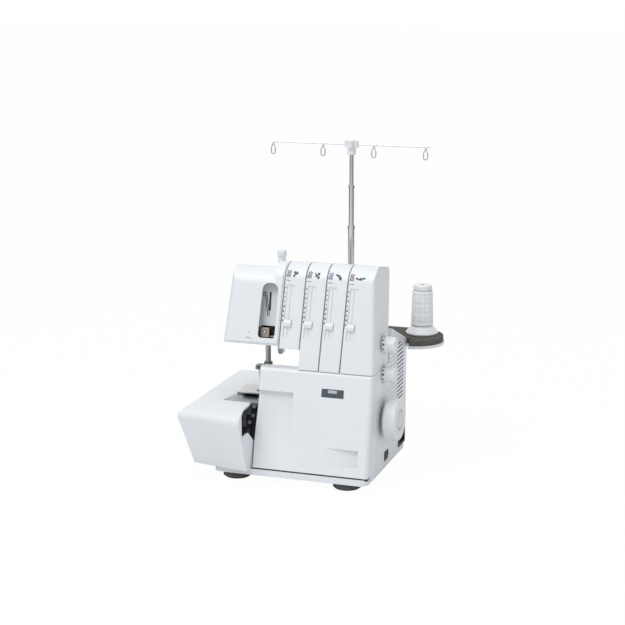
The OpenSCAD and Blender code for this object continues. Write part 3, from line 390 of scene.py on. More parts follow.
@dataclass(frozen=True)
class GroundSteel:
    """Steel ground or drawn along one axis, with faint streaks and stains."""

    name: str
    colour: Colour
    dark: Colour
    roughness: float = 0.26
    along: Point = (1.0, 1.0, 0.04)
    metallic: float = 1.0
    streak_scale: float = 2400.0
    streak_depth: float = 0.00001
    streak_dulling: float = 0.22
    stains: Mottle = Mottle(60.0, 4.0, 0.45, 1.6)
    stain_dulling: float = 0.1
    edge_wear: float = 0.5
    relief: float = 0.5

    def build(self) -> Material:
        """Makes the material.

        Returns:
            The new material.
        """
        sh = Shader(self.name)
        streaks = sh.noise(self.streak_scale, 3.0, 0.6, sh.vector("MULTIPLY", self.along))
        stains, mask = sh.clouds(self.stains)
        tone = sh.mix(mask, self.colour, self.dark)
        tone = sh.mix(sh.edges() * self.edge_wear, tone, self.colour)
        rough = self.roughness + streaks.swing(self.streak_dulling)
        return sh.finish(
            Base_Color=tone,
            Metallic=self.metallic,
            Roughness=rough + stains.swing(self.stain_dulling),
            Normal=sh.bump(streaks, self.streak_depth, self.relief),
        )


@dataclass(frozen=True)
class Casting:
    """Light alloy as it leaves the mould: pitted, with an uneven grey."""

    name: str
    colour: Colour
    dark: Colour
    roughness: float = 0.5
    metallic: float = 0.85
    pit_scale: float = 900.0
    pit_depth: float = 0.00012
    relief: float = 0.5
    clouds: Mottle = Mottle(40.0, 5.0, 0.4, 2.2)
    cloud_dulling: float = 0.2
    cloud_relief: float = 0.5
    edge_wear: float = 0.6

    def build(self) -> Material:
        """Makes the material.

        Returns:
            The new material.
        """
        sh = Shader(self.name)
        pits = sh.cells(self.pit_scale)
        cloud, mask = sh.clouds(self.clouds)
        tone = sh.mix(mask, self.colour, self.dark)
        return sh.finish(
            Base_Color=sh.mix(sh.edges() * self.edge_wear, tone, self.colour),
            Metallic=self.metallic,
            Roughness=self.roughness + cloud.swing(self.cloud_dulling),
            Normal=sh.bump(pits + cloud * self.cloud_relief, self.pit_depth, self.relief),
        )


@dataclass(frozen=True)
class Rubber:
    """Dull rubber with a fine skin and a pale bloom on its edges."""

    name: str
    colour: Colour
    bloom: Colour
    roughness: float = 0.78
    skin_scale: float = 1500.0
    skin_depth: float = 0.00006
    relief: float = 0.6
    dust: Mottle = Mottle(90.0, 5.0, 0.5, 1.4)
    dust_dulling: float = 0.2
    edge_wear: float = 0.4

    def build(self) -> Material:
        """Makes the material.

        Returns:
            The new material.
        """
        sh = Shader(self.name)
        skin = sh.noise(self.skin_scale, 3.0)
        dust, mask = sh.clouds(self.dust)
        tone = sh.mix(mask, self.colour, self.bloom)
        return sh.finish(
            Base_Color=sh.mix(sh.edges() * self.edge_wear, tone, self.bloom),
            Roughness=self.roughness + dust.swing(self.dust_dulling),
            Normal=sh.bump(skin, self.skin_depth, self.relief),
        )


@dataclass(frozen=True)
class Foam:
    """Open-cell foam: pores of a millimetre or less in a grey sheet, darkened with painted shade,
    and darker grime clouds.
    """

    name: str
    colour: Colour
    # The colour of the painted shade in the pores, which the grime clouds also darken to.
    pore_shade_and_grime: Colour
    roughness: float = 0.95
    specular: float = 0.2
    pore_scale: float = 700.0
    pore_depth: float = 0.0005
    relief: float = 0.8
    pore_level: float = 1.6
    pore_gain: float = 3.2
    grime: Mottle = Mottle(35.0, 4.0, 0.45, 0.8)

    def build(self) -> Material:
        """Makes the material.

        Returns:
            The new material.
        """
        sh = Shader(self.name)
        cells = sh.cells(self.pore_scale)
        # Painted shade: the pits of the pores are darkened.
        pore_shade = (self.pore_level - cells * self.pore_gain).clamped()
        tone = sh.mix(pore_shade, self.colour, self.pore_shade_and_grime)
        tone = sh.mix(sh.clouds(self.grime)[1], tone, self.pore_shade_and_grime)
        return sh.finish(
            Base_Color=tone,
            Roughness=self.roughness,
            Specular_IOR_Level=self.specular,
            Normal=sh.bump(cells, self.pore_depth, self.relief),
        )


@dataclass(frozen=True)
class WoundThread:
    """Thread laid in fine crossing turns round an upright cone."""

    name: str
    colour: Colour
    shade: Colour
    centre: Point
    pitch: float = 0.0007
    slant: float = 6.0
    bands: float = 900.0
    band_wander: float = 6.0
    wander_scale: float = 60.0
    groove_shade: float = 0.35
    band_shade: float = 0.12
    roughness: float = 0.62
    sheen: float = 0.25
    depth: float = 0.0002
    fuzz_scale: float = 3000.0
    fuzz: float = 0.4
    relief: float = 0.5

    def build(self) -> Material:
        """Makes the material.

        Returns:
            The new material.
        """
        sh = Shader(self.name)
        rel = sh.vector("SUBTRACT", self.centre)
        x = sh.node("ShaderNodeSeparateXYZ", None, {0: rel})
        y, z = x.also(1), x.also(2)
        angle = sh.node("ShaderNodeMath", {"operation": "ARCTAN2"}, {0: y, 1: x})
        turns = math.tau / self.pitch
        up = (z * turns + angle * self.slant).sine()
        down = (z * turns - angle * self.slant).sine()
        bands = (z * self.bands + sh.noise(self.wander_scale, 2.0) * self.band_wander).sine()
        height = up * 0.5 + down * 0.5
        grooves = height * -self.groove_shade + self.groove_shade
        shade = (grooves + bands * self.band_shade).clamped()
        return sh.finish(
            Base_Color=sh.mix(shade, self.colour, self.shade),
            Roughness=self.roughness,
            Sheen_Weight=self.sheen,
            Normal=sh.bump(
                height + sh.noise(self.fuzz_scale, 2.0) * self.fuzz, self.depth, self.relief
            ),
        )


@dataclass(frozen=True)
class Print:
    """Printed ink, a little uneven where the plastic's grain shows through."""

    name: str
    colour: Colour
    under: Colour
    roughness: float = 0.45
    grain_dulling: float = 0.15
    grain_scale: float = 2400.0
    grain_start: float = 0.6
    grain_gain: float = 1.5
    cloud_scale: float = 300.0
    cloud_share: float = 0.3

    def build(self) -> Material:
        """Makes the material.

        Returns:
            The new material.
        """
        sh = Shader(self.name)
        grain = sh.noise(self.grain_scale, 3.0)
        cloud = sh.noise(self.cloud_scale, 2.0)
        bare = (grain - self.grain_start) * self.grain_gain + cloud.swing(self.cloud_share)
        return sh.finish(
            Base_Color=sh.mix(bare.clamped(), self.colour, self.under),
            Roughness=self.roughness + grain.swing(self.grain_dulling),
        )


class Finish(Enum):
    """Every finish on the machine."""

    WHITE = MouldedPlastic("moulded_white", grey(0.82, 0.024), grey(0.77, 0.024))
    WHITE_SOFT = MouldedPlastic("moulded_white_satin", grey(0.79, 0.02), grey(0.73, 0.02), 0.45)
    WHEEL = MouldedPlastic("handwheel_white", grey(0.78, 0.02), grey(0.72, 0.02), 0.4)
    LIP = MouldedPlastic("dust_lip", grey(0.72, 0.02), grey(0.64, 0.02), 0.6)
    CLEAR_WHITE = MouldedPlastic("spool_white", grey(0.80, 0.006), grey(0.72, 0.006), 0.3, coat=0.3)
    BLACK = MouldedPlastic("moulded_black", grey(0.008), grey(0.02), 0.5, coat=0.0)
    CASE = MouldedPlastic("motor_enamel", grey(0.12), grey(0.2), 0.4)
    LENS = MouldedPlastic("lamp_lens", (0.86, 0.85, 0.76, 1.0), (0.75, 0.74, 0.66, 1.0), 0.25)
    STEEL = GroundSteel("bright_steel", grey(0.62, 0.004), grey(0.42))
    STEEL_X = GroundSteel("bright_steel_level", grey(0.6, 0.004), grey(0.4), 0.28, (0.04, 1.0, 1.0))
    CHROME = GroundSteel("plated_pole", grey(0.72, 0.006), grey(0.6), 0.14)
    PLATE = GroundSteel("ground_plate", grey(0.42, 0.03), grey(0.3, 0.02), 0.34, (0.06, 1.0, 1.0))
    DARK_STEEL = GroundSteel("oiled_steel", grey(0.22), grey(0.1), 0.38)
    BRONZE = GroundSteel(
        "sintered_bronze", (0.48, 0.29, 0.14, 1.0), (0.3, 0.18, 0.08, 1.0), 0.42, (1.0, 1.0, 1.0)
    )
    CAST = Casting("cast_alloy", grey(0.30), grey(0.2))
    # The cast alloy darkened for the bed casting in the opening under the table: painted shade.
    DARK_CAST = Casting("shaded_casting", grey(0.09, 0.01), grey(0.04, 0.004))
    BAR_STEEL = GroundSteel(
        "oiled_bar", (0.36, 0.35, 0.33, 1.0), (0.16, 0.15, 0.14, 1.0), 0.3, (1.0, 1.0, 0.1)
    )
    RUBBER = Rubber("black_rubber", grey(0.018), grey(0.05))
    BELT = Rubber("belt_rubber", grey(0.012), grey(0.03), 0.7)
    FOAM = Foam("grey_foam", (0.135, 0.13, 0.115, 1.0), (0.045, 0.043, 0.038, 1.0))
    THREAD = WoundThread("white_thread", grey(0.9, 0.01), grey(0.76, 0.008), tuple(bench(*CONE)))
    INK = Print("dark_print", grey(0.05, 0.01), grey(0.12, 0.01))
    INK_GREY = Print("grey_print", grey(0.28, 0.02), grey(0.4, 0.02))
    SLATE = Print("slate_label", (0.06, 0.075, 0.085, 1.0), (0.09, 0.11, 0.12, 1.0))
    OLIVE = Print("olive_print", (0.19, 0.13, 0.09, 1.0), (0.3, 0.25, 0.2, 1.0))
    VIOLET = Print("violet_print", (0.13, 0.12, 0.17, 1.0), (0.25, 0.24, 0.3, 1.0))
    BLUE = Print("blue_print", (0.2, 0.22, 0.33, 1.0), (0.35, 0.36, 0.45, 1.0))
    RED = Print("red_print", (0.26, 0.12, 0.1, 1.0), (0.38, 0.26, 0.24, 1.0))
    PALE = Print("pale_print", (0.45, 0.49, 0.53, 1.0), (0.55, 0.58, 0.62, 1.0))
    BRASS = GroundSteel(
        "brown_brass", (0.36, 0.31, 0.27, 1.0), (0.22, 0.18, 0.15, 1.0), 0.36, (1.0, 1.0, 1.0)
    )

    @property
    def material(self) -> Material:
        """The finish's material, made on first use."""
        found = bpy.data.materials.get(self.value.name)
        return found or self.value.build()


# Finishes with the CAD nodes that get them.
Finishes = tuple[tuple[Finish, tuple[str, ...]], ...]


# ---- mesh building ----


def mesh_data(name: str, mesh: BMesh) -> Mesh:
    """Turns a built mesh into mesh data.

    Args:
        name: the data's name.
        mesh: the built mesh, which is freed.

    Returns:
        The mesh data.
    """
    data = bpy.data.meshes.new(name)
    mesh.to_mesh(data)
    mesh.free()
    return data


def add_object(name: str, data: Any) -> Object:
    """Puts a new object in the scene.

    Args:
        name: its name.
        data: its mesh, lamp or camera.

    Returns:
        The new object.
    """
    made = bpy.data.objects.new(name, data)
    bpy.context.scene.collection.objects.link(made)
    return made


def piece(
    name: str, mesh: BMesh, finish: Finish, body: str, smooth: float = 40.0
) -> Object:
    """Turns a built mesh into a piece of the machine.

    Args:
        name: the piece's name.
        mesh: its built mesh, in the row frame.
        finish: what it is finished in.
        body: the CAD body that it rides on.
        smooth: edges flatter than this many degrees are shaded smooth.

    Returns:
        The new object.
    """
    bmesh.ops.recalc_face_normals(mesh, faces=mesh.faces[:])
    data = mesh_data(name, mesh)
    data.materials.append(finish.material)
    data.shade_smooth()
    data.set_sharp_from_angle(angle=math.radians(smooth))
    made = add_object(name, data)
    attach(made, body)
    log.info("%s rides on %s", name, body)
    return made


def add_plate(mesh: BMesh, front: Sequence[Vector], back: Sequence[Vector]) -> None:
    """Adds a thin closed plate.

    Args:
        mesh: the mesh to add to.
        front: the ring of points on one side.
        back: the ring on the other, point by point.
    """
    a = [mesh.verts.new(p) for p in front]
    b = [mesh.verts.new(p) for p in back]
    mesh.faces.new(a)
    mesh.faces.new(b[::-1])
    for k in range(len(a)):
        n = (k + 1) % len(a)
        mesh.faces.new((a[n], a[k], b[k], b[n]))


def add_block(mesh: BMesh, where: Place, low: Point, high: Point) -> None:
    """Adds a closed block between two corners of a frame."""
    ring = ((low[0], low[2]), (high[0], low[2]), (high[0], high[2]), (low[0], high[2]))
    add_plate(mesh, [where(x, low[1], z) for x, z in ring], [where(x, high[1], z) for x, z in ring])


def circle(where: Place, middle: Point, radius: float, steps: int = 24) -> list[Vector]:
    """A circle that is upright in a frame's x and z.

    Args:
        where: gives a point from x, depth and height.
        middle: the circle's middle.
        radius: its radius in millimetres.
        steps: its number of points.

    Returns:
        The ring of points.
    """
    x, y, z = middle
    turns = (math.tau * k / steps for k in range(steps))
    return [where(x + radius * math.cos(a), y, z + radius * math.sin(a)) for a in turns]


def add_print(
    mesh: BMesh, where: Place, box: Box, steps: int = 1, proud: float = PRINT_LIFT
) -> None:
    """Adds a thin printed patch that follows a surface.

    Args:
        mesh: the mesh to add to.
        where: gives a point from the two surface distances and the lift.
        box: the patch's left, lower, right and upper limits on the surface.
        steps: strips along its height, more where the surface bends.
        proud: how far the patch stands out of the surface, in millimetres.
    """
    x0, y0, x1, y1 = box
    rows = [y0 + (y1 - y0) * k / steps for k in range(steps + 1)]
    outline = [(x0, y) for y in rows] + [(x1, y) for y in reversed(rows)]
    top = [mesh.verts.new(where(x, y, proud)) for x, y in outline]
    low = [mesh.verts.new(where(x, y, PRINT_START)) for x, y in outline]
    count = len(top)
    for k in range(steps):
        ring = (k, k + 1, count - 2 - k, count - 1 - k)
        mesh.faces.new([top[i] for i in ring])
        mesh.faces.new([low[i] for i in reversed(ring)])
    for k in range(count):
        n = (k + 1) % count
        mesh.faces.new((top[n], top[k], low[k], low[n]))


def add_turned(mesh: BMesh, centre: Vector, profile: Sequence[Pair], steps: int) -> None:
    """Adds a closed form turned round an upright axis.

    Args:
        mesh: the mesh to add to.
        centre: the foot of the axis.
        profile: a closed ring of radii and heights, in metres.
        steps: sides of each circle.
    """
    turns = [math.tau * k / steps for k in range(steps)]
    rings = [
        [mesh.verts.new(centre + Vector((r * math.cos(a), r * math.sin(a), height))) for a in turns]
        for r, height in profile
    ]
    for near, far in zip(rings, rings[1:] + rings[:1]):
        for k in range(steps):
            n = (k + 1) % steps
            mesh.faces.new((near[k], near[n], far[n], far[k]))


def dress(finishes: Finishes) -> None:
    """Gives CAD nodes their finishes.

    Args:
        finishes: each finish with its nodes.
    """
    for finish, nodes in finishes:
        for node in nodes:
            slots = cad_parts[node].data.materials
            slots.clear()
            slots.append(finish.material)
            log.info("%s is finished in %s", node, finish.value.name)


# ---- sub-assemblies ----


@dataclass
class Covers:
    """The moulded covers of the body, with the prints on them.

    Places on a thread panel are x from its slot's middle and the distance up from the seam.
    """

    finishes: Finishes = (
        (Finish.WHITE, ("base_pan", "lower_housing", "side_cover", "rear_cover")),
        (Finish.WHITE, ("upper_housing", "face_cover", "looper_cover", "cloth_plate")),
        (Finish.RUBBER, ("rubber_feet",)),
    )
    label: Box = (-69.0, 120.0, -38.5, 131.0)
    label_patch: Box = (-60.0, 125.8, -48.0, 129.8)
    patch_rise: float = 0.13
    ticks: int = 8
    long_ticks: int = 4
    tick_start: float = REST_W + 3
    tick_step: float = 6.2
    tick_sizes: Pair = (2.4, 1.3)
    tick_x: Pair = (1.6, 3.3)
    tick_cut: float = 0.4
    track_x: float = 9.5
    track: Pair = (REST_W - 15.5, REST_W + 48.5)
    lip_reach: Pair = (0.05, 0.74)
    lip_depth: Pair = (1.7, 1.95)
    icons: tuple[Finish, ...] = (Finish.RED, Finish.BLUE, Finish.VIOLET, Finish.OLIVE)
    icon_grid: tuple[int, int] = (4, 3)
    icon_corner: Pair = (1.7, 122.2)
    icon_pitch: Pair = (2.0, 2.4)
    icon_slant: float = 0.25
    icon_w: float = 1.5
    icon_h: Pair = (2.0, 1.5)
    icon_lift: float = 0.4
    dash: Box = (2.2, 117.0, 8.0, 118.0)
    paths: tuple[tuple[Box, ...], ...] = (
        (
            (9.8, 124.6, 13.0, 127.0),
            (12.6, 123.8, 18.4, 125.7),
            (15.0, 125.5, 22.0, 127.2),
            (19.0, 126.4, 22.8, 127.9),
        ),
        (
            (10.8, 128.0, 14.0, 130.0),
            (13.0, 126.6, 17.2, 129.2),
            (15.4, 124.4, 18.6, 127.6),
            (16.8, 122.4, 19.6, 126.0),
        ),
        (
            (11.0, 128.2, 12.8, 130.0),
            (12.4, 124.4, 15.2, 128.2),
            (15.0, 127.0, 18.4, 130.6),
            (15.6, 122.4, 18.2, 125.8),
        ),
        (
            (11.0, 128.0, 14.2, 130.4),
            (12.4, 125.6, 15.6, 129.0),
            (11.0, 122.8, 13.6, 125.4),
            (15.2, 126.4, 17.4, 130.2),
        ),
    )
    # A black sheet behind the louvres, painted shade for the dark inside of the body.
    shade_sheet: Block = ((-3.4, 142.0, 87.0), (-2.8, 180.0, 172.0))

    def build_label(self) -> None:
        """The bare slate label on the front cover."""
        mesh = bmesh.new()

        def where(x: float, z: float, lift: float) -> Vector:
            """A point on the front cover at a height."""
            return leaned(x, -lift, (z - BASE_Z) / math.cos(LEAN))

        add_print(mesh, where, self.label)
        patch = bmesh.new()
        add_print(patch, lambda x, z, lift: where(x, z, lift + self.patch_rise), self.label_patch)
        piece("front_label_patch", patch, Finish.PALE, "looper_cover")
        piece("front_label", mesh, Finish.SLATE, "looper_cover")

    def build_ticks(self) -> None:
        """Scale marks beside the thread slots."""
        mesh = bmesh.new()
        left, right = self.tick_x
        for index in range(PANELS):
            for k in range(self.ticks):
                w = self.tick_start + k * self.tick_step
                size = self.tick_sizes[0 if k < self.long_ticks else 1]
                end = right - (0 if k % 2 else self.tick_cut)
                add_print(mesh, partial(panel, index), (left, w - size / 2, end, w + size / 2))
        piece("slider_scales", mesh, Finish.INK, MACHINE)

    def build_icons(self) -> None:
        """Coloured thread marks and small path marks at the top of each panel."""
        for index, finish in enumerate(self.icons):
            mesh = bmesh.new()
            where = partial(panel, index)
            rows, columns = self.icon_grid
            for row in range(rows):
                for column in range(columns):
                    x0 = self.icon_corner[0] + column * self.icon_pitch[0] + self.icon_slant * row
                    y0 = self.icon_corner[1] + row * self.icon_pitch[1]
                    box = (x0, y0, x0 + self.icon_w, y0 + self.icon_h[(row + column) % 2])
                    add_print(mesh, where, box, 1, self.icon_lift)
            piece(f"thread_mark_{index + 1}", mesh, finish, MACHINE)
            mesh = bmesh.new()
            for patch in self.paths[index]:
                add_print(mesh, where, patch, 2, self.icon_lift)
            piece(f"path_mark_{index + 1}", mesh, Finish.INK, MACHINE)
            mesh = bmesh.new()
            add_print(mesh, where, self.dash)
            piece(f"panel_dash_{index + 1}", mesh, Finish.INK_GREY, MACHINE)

    def build_lips(self) -> None:
        """Soft dust lips along both sides of each slider's slot."""
        mesh = bmesh.new()
        near, far = self.lip_reach
        for index in range(PANELS):
            for x0, x1 in ((-far, -near), (near, far)):
                add_block(
                    mesh,
                    lambda x, depth, w, i=index: panel(i, x, w, -depth),
                    (self.track_x + x0, self.lip_depth[0], self.track[0]),
                    (self.track_x + x1, self.lip_depth[1], self.track[1]),
                )
        piece("slot_lips", mesh, Finish.LIP, MACHINE)

    def build_shade_sheet(self) -> None:
        """A black sheet behind the louvres: painted shade for the dark inside of the body."""
        mesh = bmesh.new()
        add_block(mesh, bench, *self.shade_sheet)
        piece("louvre_shade_sheet", mesh, Finish.BLACK, MACHINE)

    def build(self) -> None:
        """Finishes the covers and adds their prints."""
        dress(self.finishes)
        Window().build()
        self.build_shade_sheet()
        self.build_lips()
        self.build_label()
        self.build_ticks()
        self.build_icons()


@dataclass
class Window:
    """The lined recess behind the head's window, what stands in it, and the marks beside it.

    Places are x, depth behind the head's front and height, in the bench frame's millimetres.
    """

    liner: tuple[Block, ...] = (
        ((-164.6, 2.7, 203.0), (-163.3, 14.0, 266.0)),
        ((-164.6, 14.0, 203.0), (-138.6, 15.4, 266.0)),
        ((-164.6, 2.7, 266.0), (-138.6, 15.4, 267.4)),
    )
    # A black plate on the recess's back where the slit is: painted shade.
    slit_shade: Block = ((-153.6, 13.4, 223.0), (-151.2, 14.1, 247.0))
    links: tuple[Pair, ...] = ((-159.8, -155.2), (-157.6, -152.8))
    link_w: float = 0.7
    link_depth: float = 13.2
    link_z: Pair = (243.0, 216.0)
    link_t: float = 0.6
    strip: Block = ((-162.6, 6.0, 203.4), (-160.7, 8.5, 240.0))
    bracket: Block = ((-163.2, 8.6, 189.0), (-149.8, 10.4, 201.6))
    screws: Discs = (((-160.4, 13.2, 244.5), 2.4), ((-155.4, 7.7, 196.4), 2.2))
    screw_ends: Discs = (((-160.4, 12.6, 244.5), 1.5), ((-155.4, 7.2, 196.4), 1.1))
    screw_t: float = 0.9
    marks: tuple[Box, ...] = (
        (-175.2, 195.8, -173.9, 197.1),
        (-178.6, 188.5, -172.6, 189.5),
        (-171.0, 186.6, -169.7, 187.9),
    )

    @staticmethod
    def at(x: float, depth: float, z: float) -> Vector:
        """A point behind the head's front at a height."""
        return leaned(x, depth, (z - BASE_Z + depth * math.sin(LEAN)) / math.cos(LEAN))

    @staticmethod
    def add_leaf(mesh: BMesh, front: Sequence[Vector], thick: float) -> None:
        """Adds a plate of a thickness in millimetres behind a ring of points."""
        step = Vector((0.0, thick / MM_PER_METRE, 0.0))
        add_plate(mesh, front, [point + step for point in front])

    def build_liner(self) -> None:
        """The recess: its left wall, back and roof."""
        liner = bmesh.new()
        for block in self.liner:
            add_block(liner, self.at, *block)
        piece("window_liner", liner, Finish.WHITE_SOFT, MACHINE)

    def build_guides(self) -> None:
        """A black plate as painted shade for the slit, the dark links, the pale strip and the
        bracket.
        """
        shade_and_links = bmesh.new()
        # Painted shade: the slit is a black plate, not an opening.
        add_block(shade_and_links, self.at, *self.slit_shade)
        top, foot = self.link_z
        for x0, x1 in self.links:
            corners = ((x0, top), (x0 + self.link_w, top), (x1 + self.link_w, foot), (x1, foot))
            self.add_leaf(shade_and_links, [self.at(x, self.link_depth, z) for x, z in corners], self.link_t)
        piece("window_slit_shading_and_links", shade_and_links, Finish.BLACK, MACHINE)
        strip = bmesh.new()
        add_block(strip, self.at, *self.strip)
        piece("guide_strip", strip, Finish.PALE, MACHINE)
        bracket = bmesh.new()
        add_block(bracket, self.at, *self.bracket)
        piece("guide_bracket", bracket, Finish.BRASS, MACHINE)

    def build_screws(self) -> None:
        """Two screws with bright ends."""
        for name, spots, finish in (
            ("window_screws", self.screws, Finish.DARK_STEEL),
            ("window_screw_ends", self.screw_ends, Finish.STEEL),
        ):
            discs = bmesh.new()
            for middle, radius in spots:
                self.add_leaf(discs, circle(self.at, middle, radius), self.screw_t)
            piece(name, discs, finish, MACHINE)

    def build_marks(self) -> None:
        """Small grey marks near the head's lower edge."""
        marks = bmesh.new()
        for box in self.marks:
            add_print(marks, lambda x, z, lift: self.at(x, -lift, z), box)
        piece("head_marks", marks, Finish.INK_GREY, MACHINE)

    def build(self) -> None:
        """Builds the recess and everything in and beside it."""
        self.build_liner()
        self.build_guides()
        self.build_screws()
        self.build_marks()


@dataclass
class LooperFittings:
    """Small fittings on the front of the bed casting, in the opening over the loopers."""

    seat: float = 39.8
    guides: tuple[Block, ...] = (
        ((-190.0, 38.6, 81.0), (-174.0, 39.8, 93.0)),
        ((-186.0, 37.4, 64.0), (-181.0, 39.8, 81.0)),
    )
    finger: tuple[Pair, ...] = ((-181.4, 60.0), (-175.6, 62.0), (-177.4, 47.0), (-179.2, 44.0))
    finger_y: Pair = (38.0, 39.7)
    screws: Discs = (
        ((-169.6, 37.6, 93.6), 3.0),
        ((-176.5, 38.2, 70.0), 2.6),
        ((-171.5, 38.2, 80.0), 2.2),
    )
    bosses: Discs = (((-184.0, 37.2, 92.6), 4.2), ((-187.5, 38.0, 79.0), 3.0))
    disc_steps: int = 28

    def build(self) -> None:
        """Builds the guides, the thread finger, the screws and the bosses."""
        plates = bmesh.new()
        for block in self.guides:
            add_block(plates, bench, *block)
        piece("looper_guides", plates, Finish.CAST, MACHINE)
        tip = bmesh.new()
        add_plate(tip, *([bench(x, y, z) for x, z in self.finger] for y in self.finger_y))
        piece("thread_finger", tip, Finish.BRASS, MACHINE)
        for name, spots, finish in (
            ("looper_screws", self.screws, Finish.STEEL),
            ("looper_bosses", self.bosses, Finish.CAST),
        ):
            discs = bmesh.new()
            for middle, radius in spots:
                foot = (middle[0], self.seat, middle[2])
                rings = (circle(bench, spot, radius, self.disc_steps) for spot in (middle, foot))
                add_plate(discs, *rings)
            piece(name, discs, finish, MACHINE)


@dataclass
class PresserSpring:
    """The presser bar's coil spring, which rides on the bar."""

    foot: Point = (-169.0, 94.0, 209.0)
    length: float = 23.0
    turns: int = 7
    wire: float = 1.4
    radius: float = 4.6
    travel: float = 6.0
    turn_steps: int = 30
    sides: int = 12

    def ring(self, mesh: BMesh, i: int, steps: int) -> list[BMVert]:
        """Adds one outline of the wire.

        Args:
            mesh: the mesh to add to.
            i: the outline's place along the helix.
            steps: steps in the whole helix.

        Returns:
            The outline's vertices.
        """
        x, y, low = self.foot
        wire = self.wire / 2
        a = math.tau * self.turns * i / steps
        found = []
        for j in range(self.sides):
            b = math.tau * j / self.sides
            r = self.radius + wire * math.cos(b)
            z = low + wire + (self.length - self.wire) * i / steps + wire * math.sin(b)
            found.append(mesh.verts.new(bench(x + r * math.cos(a), y + r * math.sin(a), z)))
        return found

    def build(self) -> None:
        """Builds the spring in place of its plain solid."""
        mesh = bmesh.new()
        steps = self.turns * self.turn_steps
        rings = [self.ring(mesh, i, steps) for i in range(steps + 1)]
        for a, b in zip(rings, rings[1:]):
            for j in range(self.sides):
                k = (j + 1) % self.sides
                mesh.faces.new((a[j], b[j], b[k], a[k]))
        mesh.faces.new(rings[0])
        mesh.faces.new(rings[-1][::-1])
        made = piece("coiled_spring", mesh, Finish.STEEL, "presser_bar", 60)
        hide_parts("presser_spring")
        anchor = tuple(bench(*self.foot))
        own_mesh(made)


@dataclass
class Mechanism:
    """The castings, shafts, drive, needles, presser, knives and loopers."""

    finishes: Finishes = (
        # The bed casting gets the darkened cast alloy, painted shade of the opening.
        (Finish.DARK_CAST, ("bed_casting",)),
        (Finish.CAST, ("arm_casting",)),
        (Finish.PLATE, ("needle_plate",)),
        (Finish.STEEL, ("feed_dog", "lower_knife", "upper_knife", "needles", "tension_discs")),
        (Finish.STEEL, ("needle_lever", "lifter_lever")),
        (Finish.STEEL_X, ("cover_hinge_rod", "looper_shaft", "main_shaft", "arm_shaft")),
        (Finish.STEEL_X, ("motor_pulley", "presser_foot", "cover_screws")),
        (Finish.DARK_STEEL, ("lower_looper", "upper_looper", "needle_clamp")),
        (Finish.BAR_STEEL, ("needle_bar", "presser_bar")),
        (Finish.BRONZE, ("shaft_bushes", "bar_bushes", "thread_guide_block")),
        (Finish.BLACK, ("drive_pulley",)),
        (Finish.BELT, ("timing_belt",)),
        (Finish.CASE, ("motor",)),
        (Finish.LENS, ("lamp",)),
    )

    def build(self) -> None:
        """Finishes the mechanism's nodes and adds the small fittings."""
        dress(self.finishes)
        LooperFittings().build()
        PresserSpring().build()


@dataclass
class Controls:
    """Handwheel, sliders, dials, knob, switch and inlet."""

    finishes: Finishes = (
        (Finish.WHITE, ("stitch_dial", "feed_dial", "pressure_knob")),
        (Finish.WHITE, tuple(f"tension_slider_{k + 1}" for k in range(PANELS))),
        (Finish.WHEEL, ("handwheel",)),
        (Finish.WHITE_SOFT, ("wheel_cap",)),
        (Finish.BLACK, ("power_switch", "power_inlet")),
    )
    dials: tuple[tuple[str, float], ...] = (("stitch_dial", 184.5), ("feed_dial", 143.6))
    dial_r: float = 11.5
    dial_y: float = 74.0
    mark_every: int = 30
    long_every: int = 3
    mark_from: float = 4.0
    mark_to: Pair = (18.0, 14.0)
    mark_x: Pair = (4.2, 3.6)
    mark_left: float = 1.6
    mark_lift: float = 0.1

    def build_marks(self, dial: str, z: float) -> None:
        """Dark marks round a dial's rim, some of them longer.

        Args:
            dial: the dial's node and body.
            z: the height of its middle.
        """
        mesh = bmesh.new()
        for k, turn in enumerate(range(0, 360, self.mark_every)):
            short = 1 if k % self.long_every else 0
            a0, a1 = (math.radians(turn + a) for a in (self.mark_from, self.mark_to[short]))
            middle = (a0 + a1) / 2
            x0, x1 = self.mark_left, self.mark_x[short]
            corners = ((x0, a0), (x1, a0), (x1, middle), (x1, a1), (x0, a1), (x0, middle))

            def ring(lift: float) -> list[Vector]:
                """The mark's corners at a lift above the rim."""
                r = self.dial_r + lift
                return [
                    bench(x, self.dial_y + r * math.sin(a), z + r * math.cos(a)) for x, a in corners
                ]

            add_plate(mesh, ring(self.mark_lift), ring(-self.mark_lift))
        piece(f"{dial}_marks", mesh, Finish.INK, dial)

    def build(self) -> None:
        """Finishes the controls and adds their marks."""
        dress(self.finishes)
        for dial, z in self.dials:
            self.build_marks(dial, z)


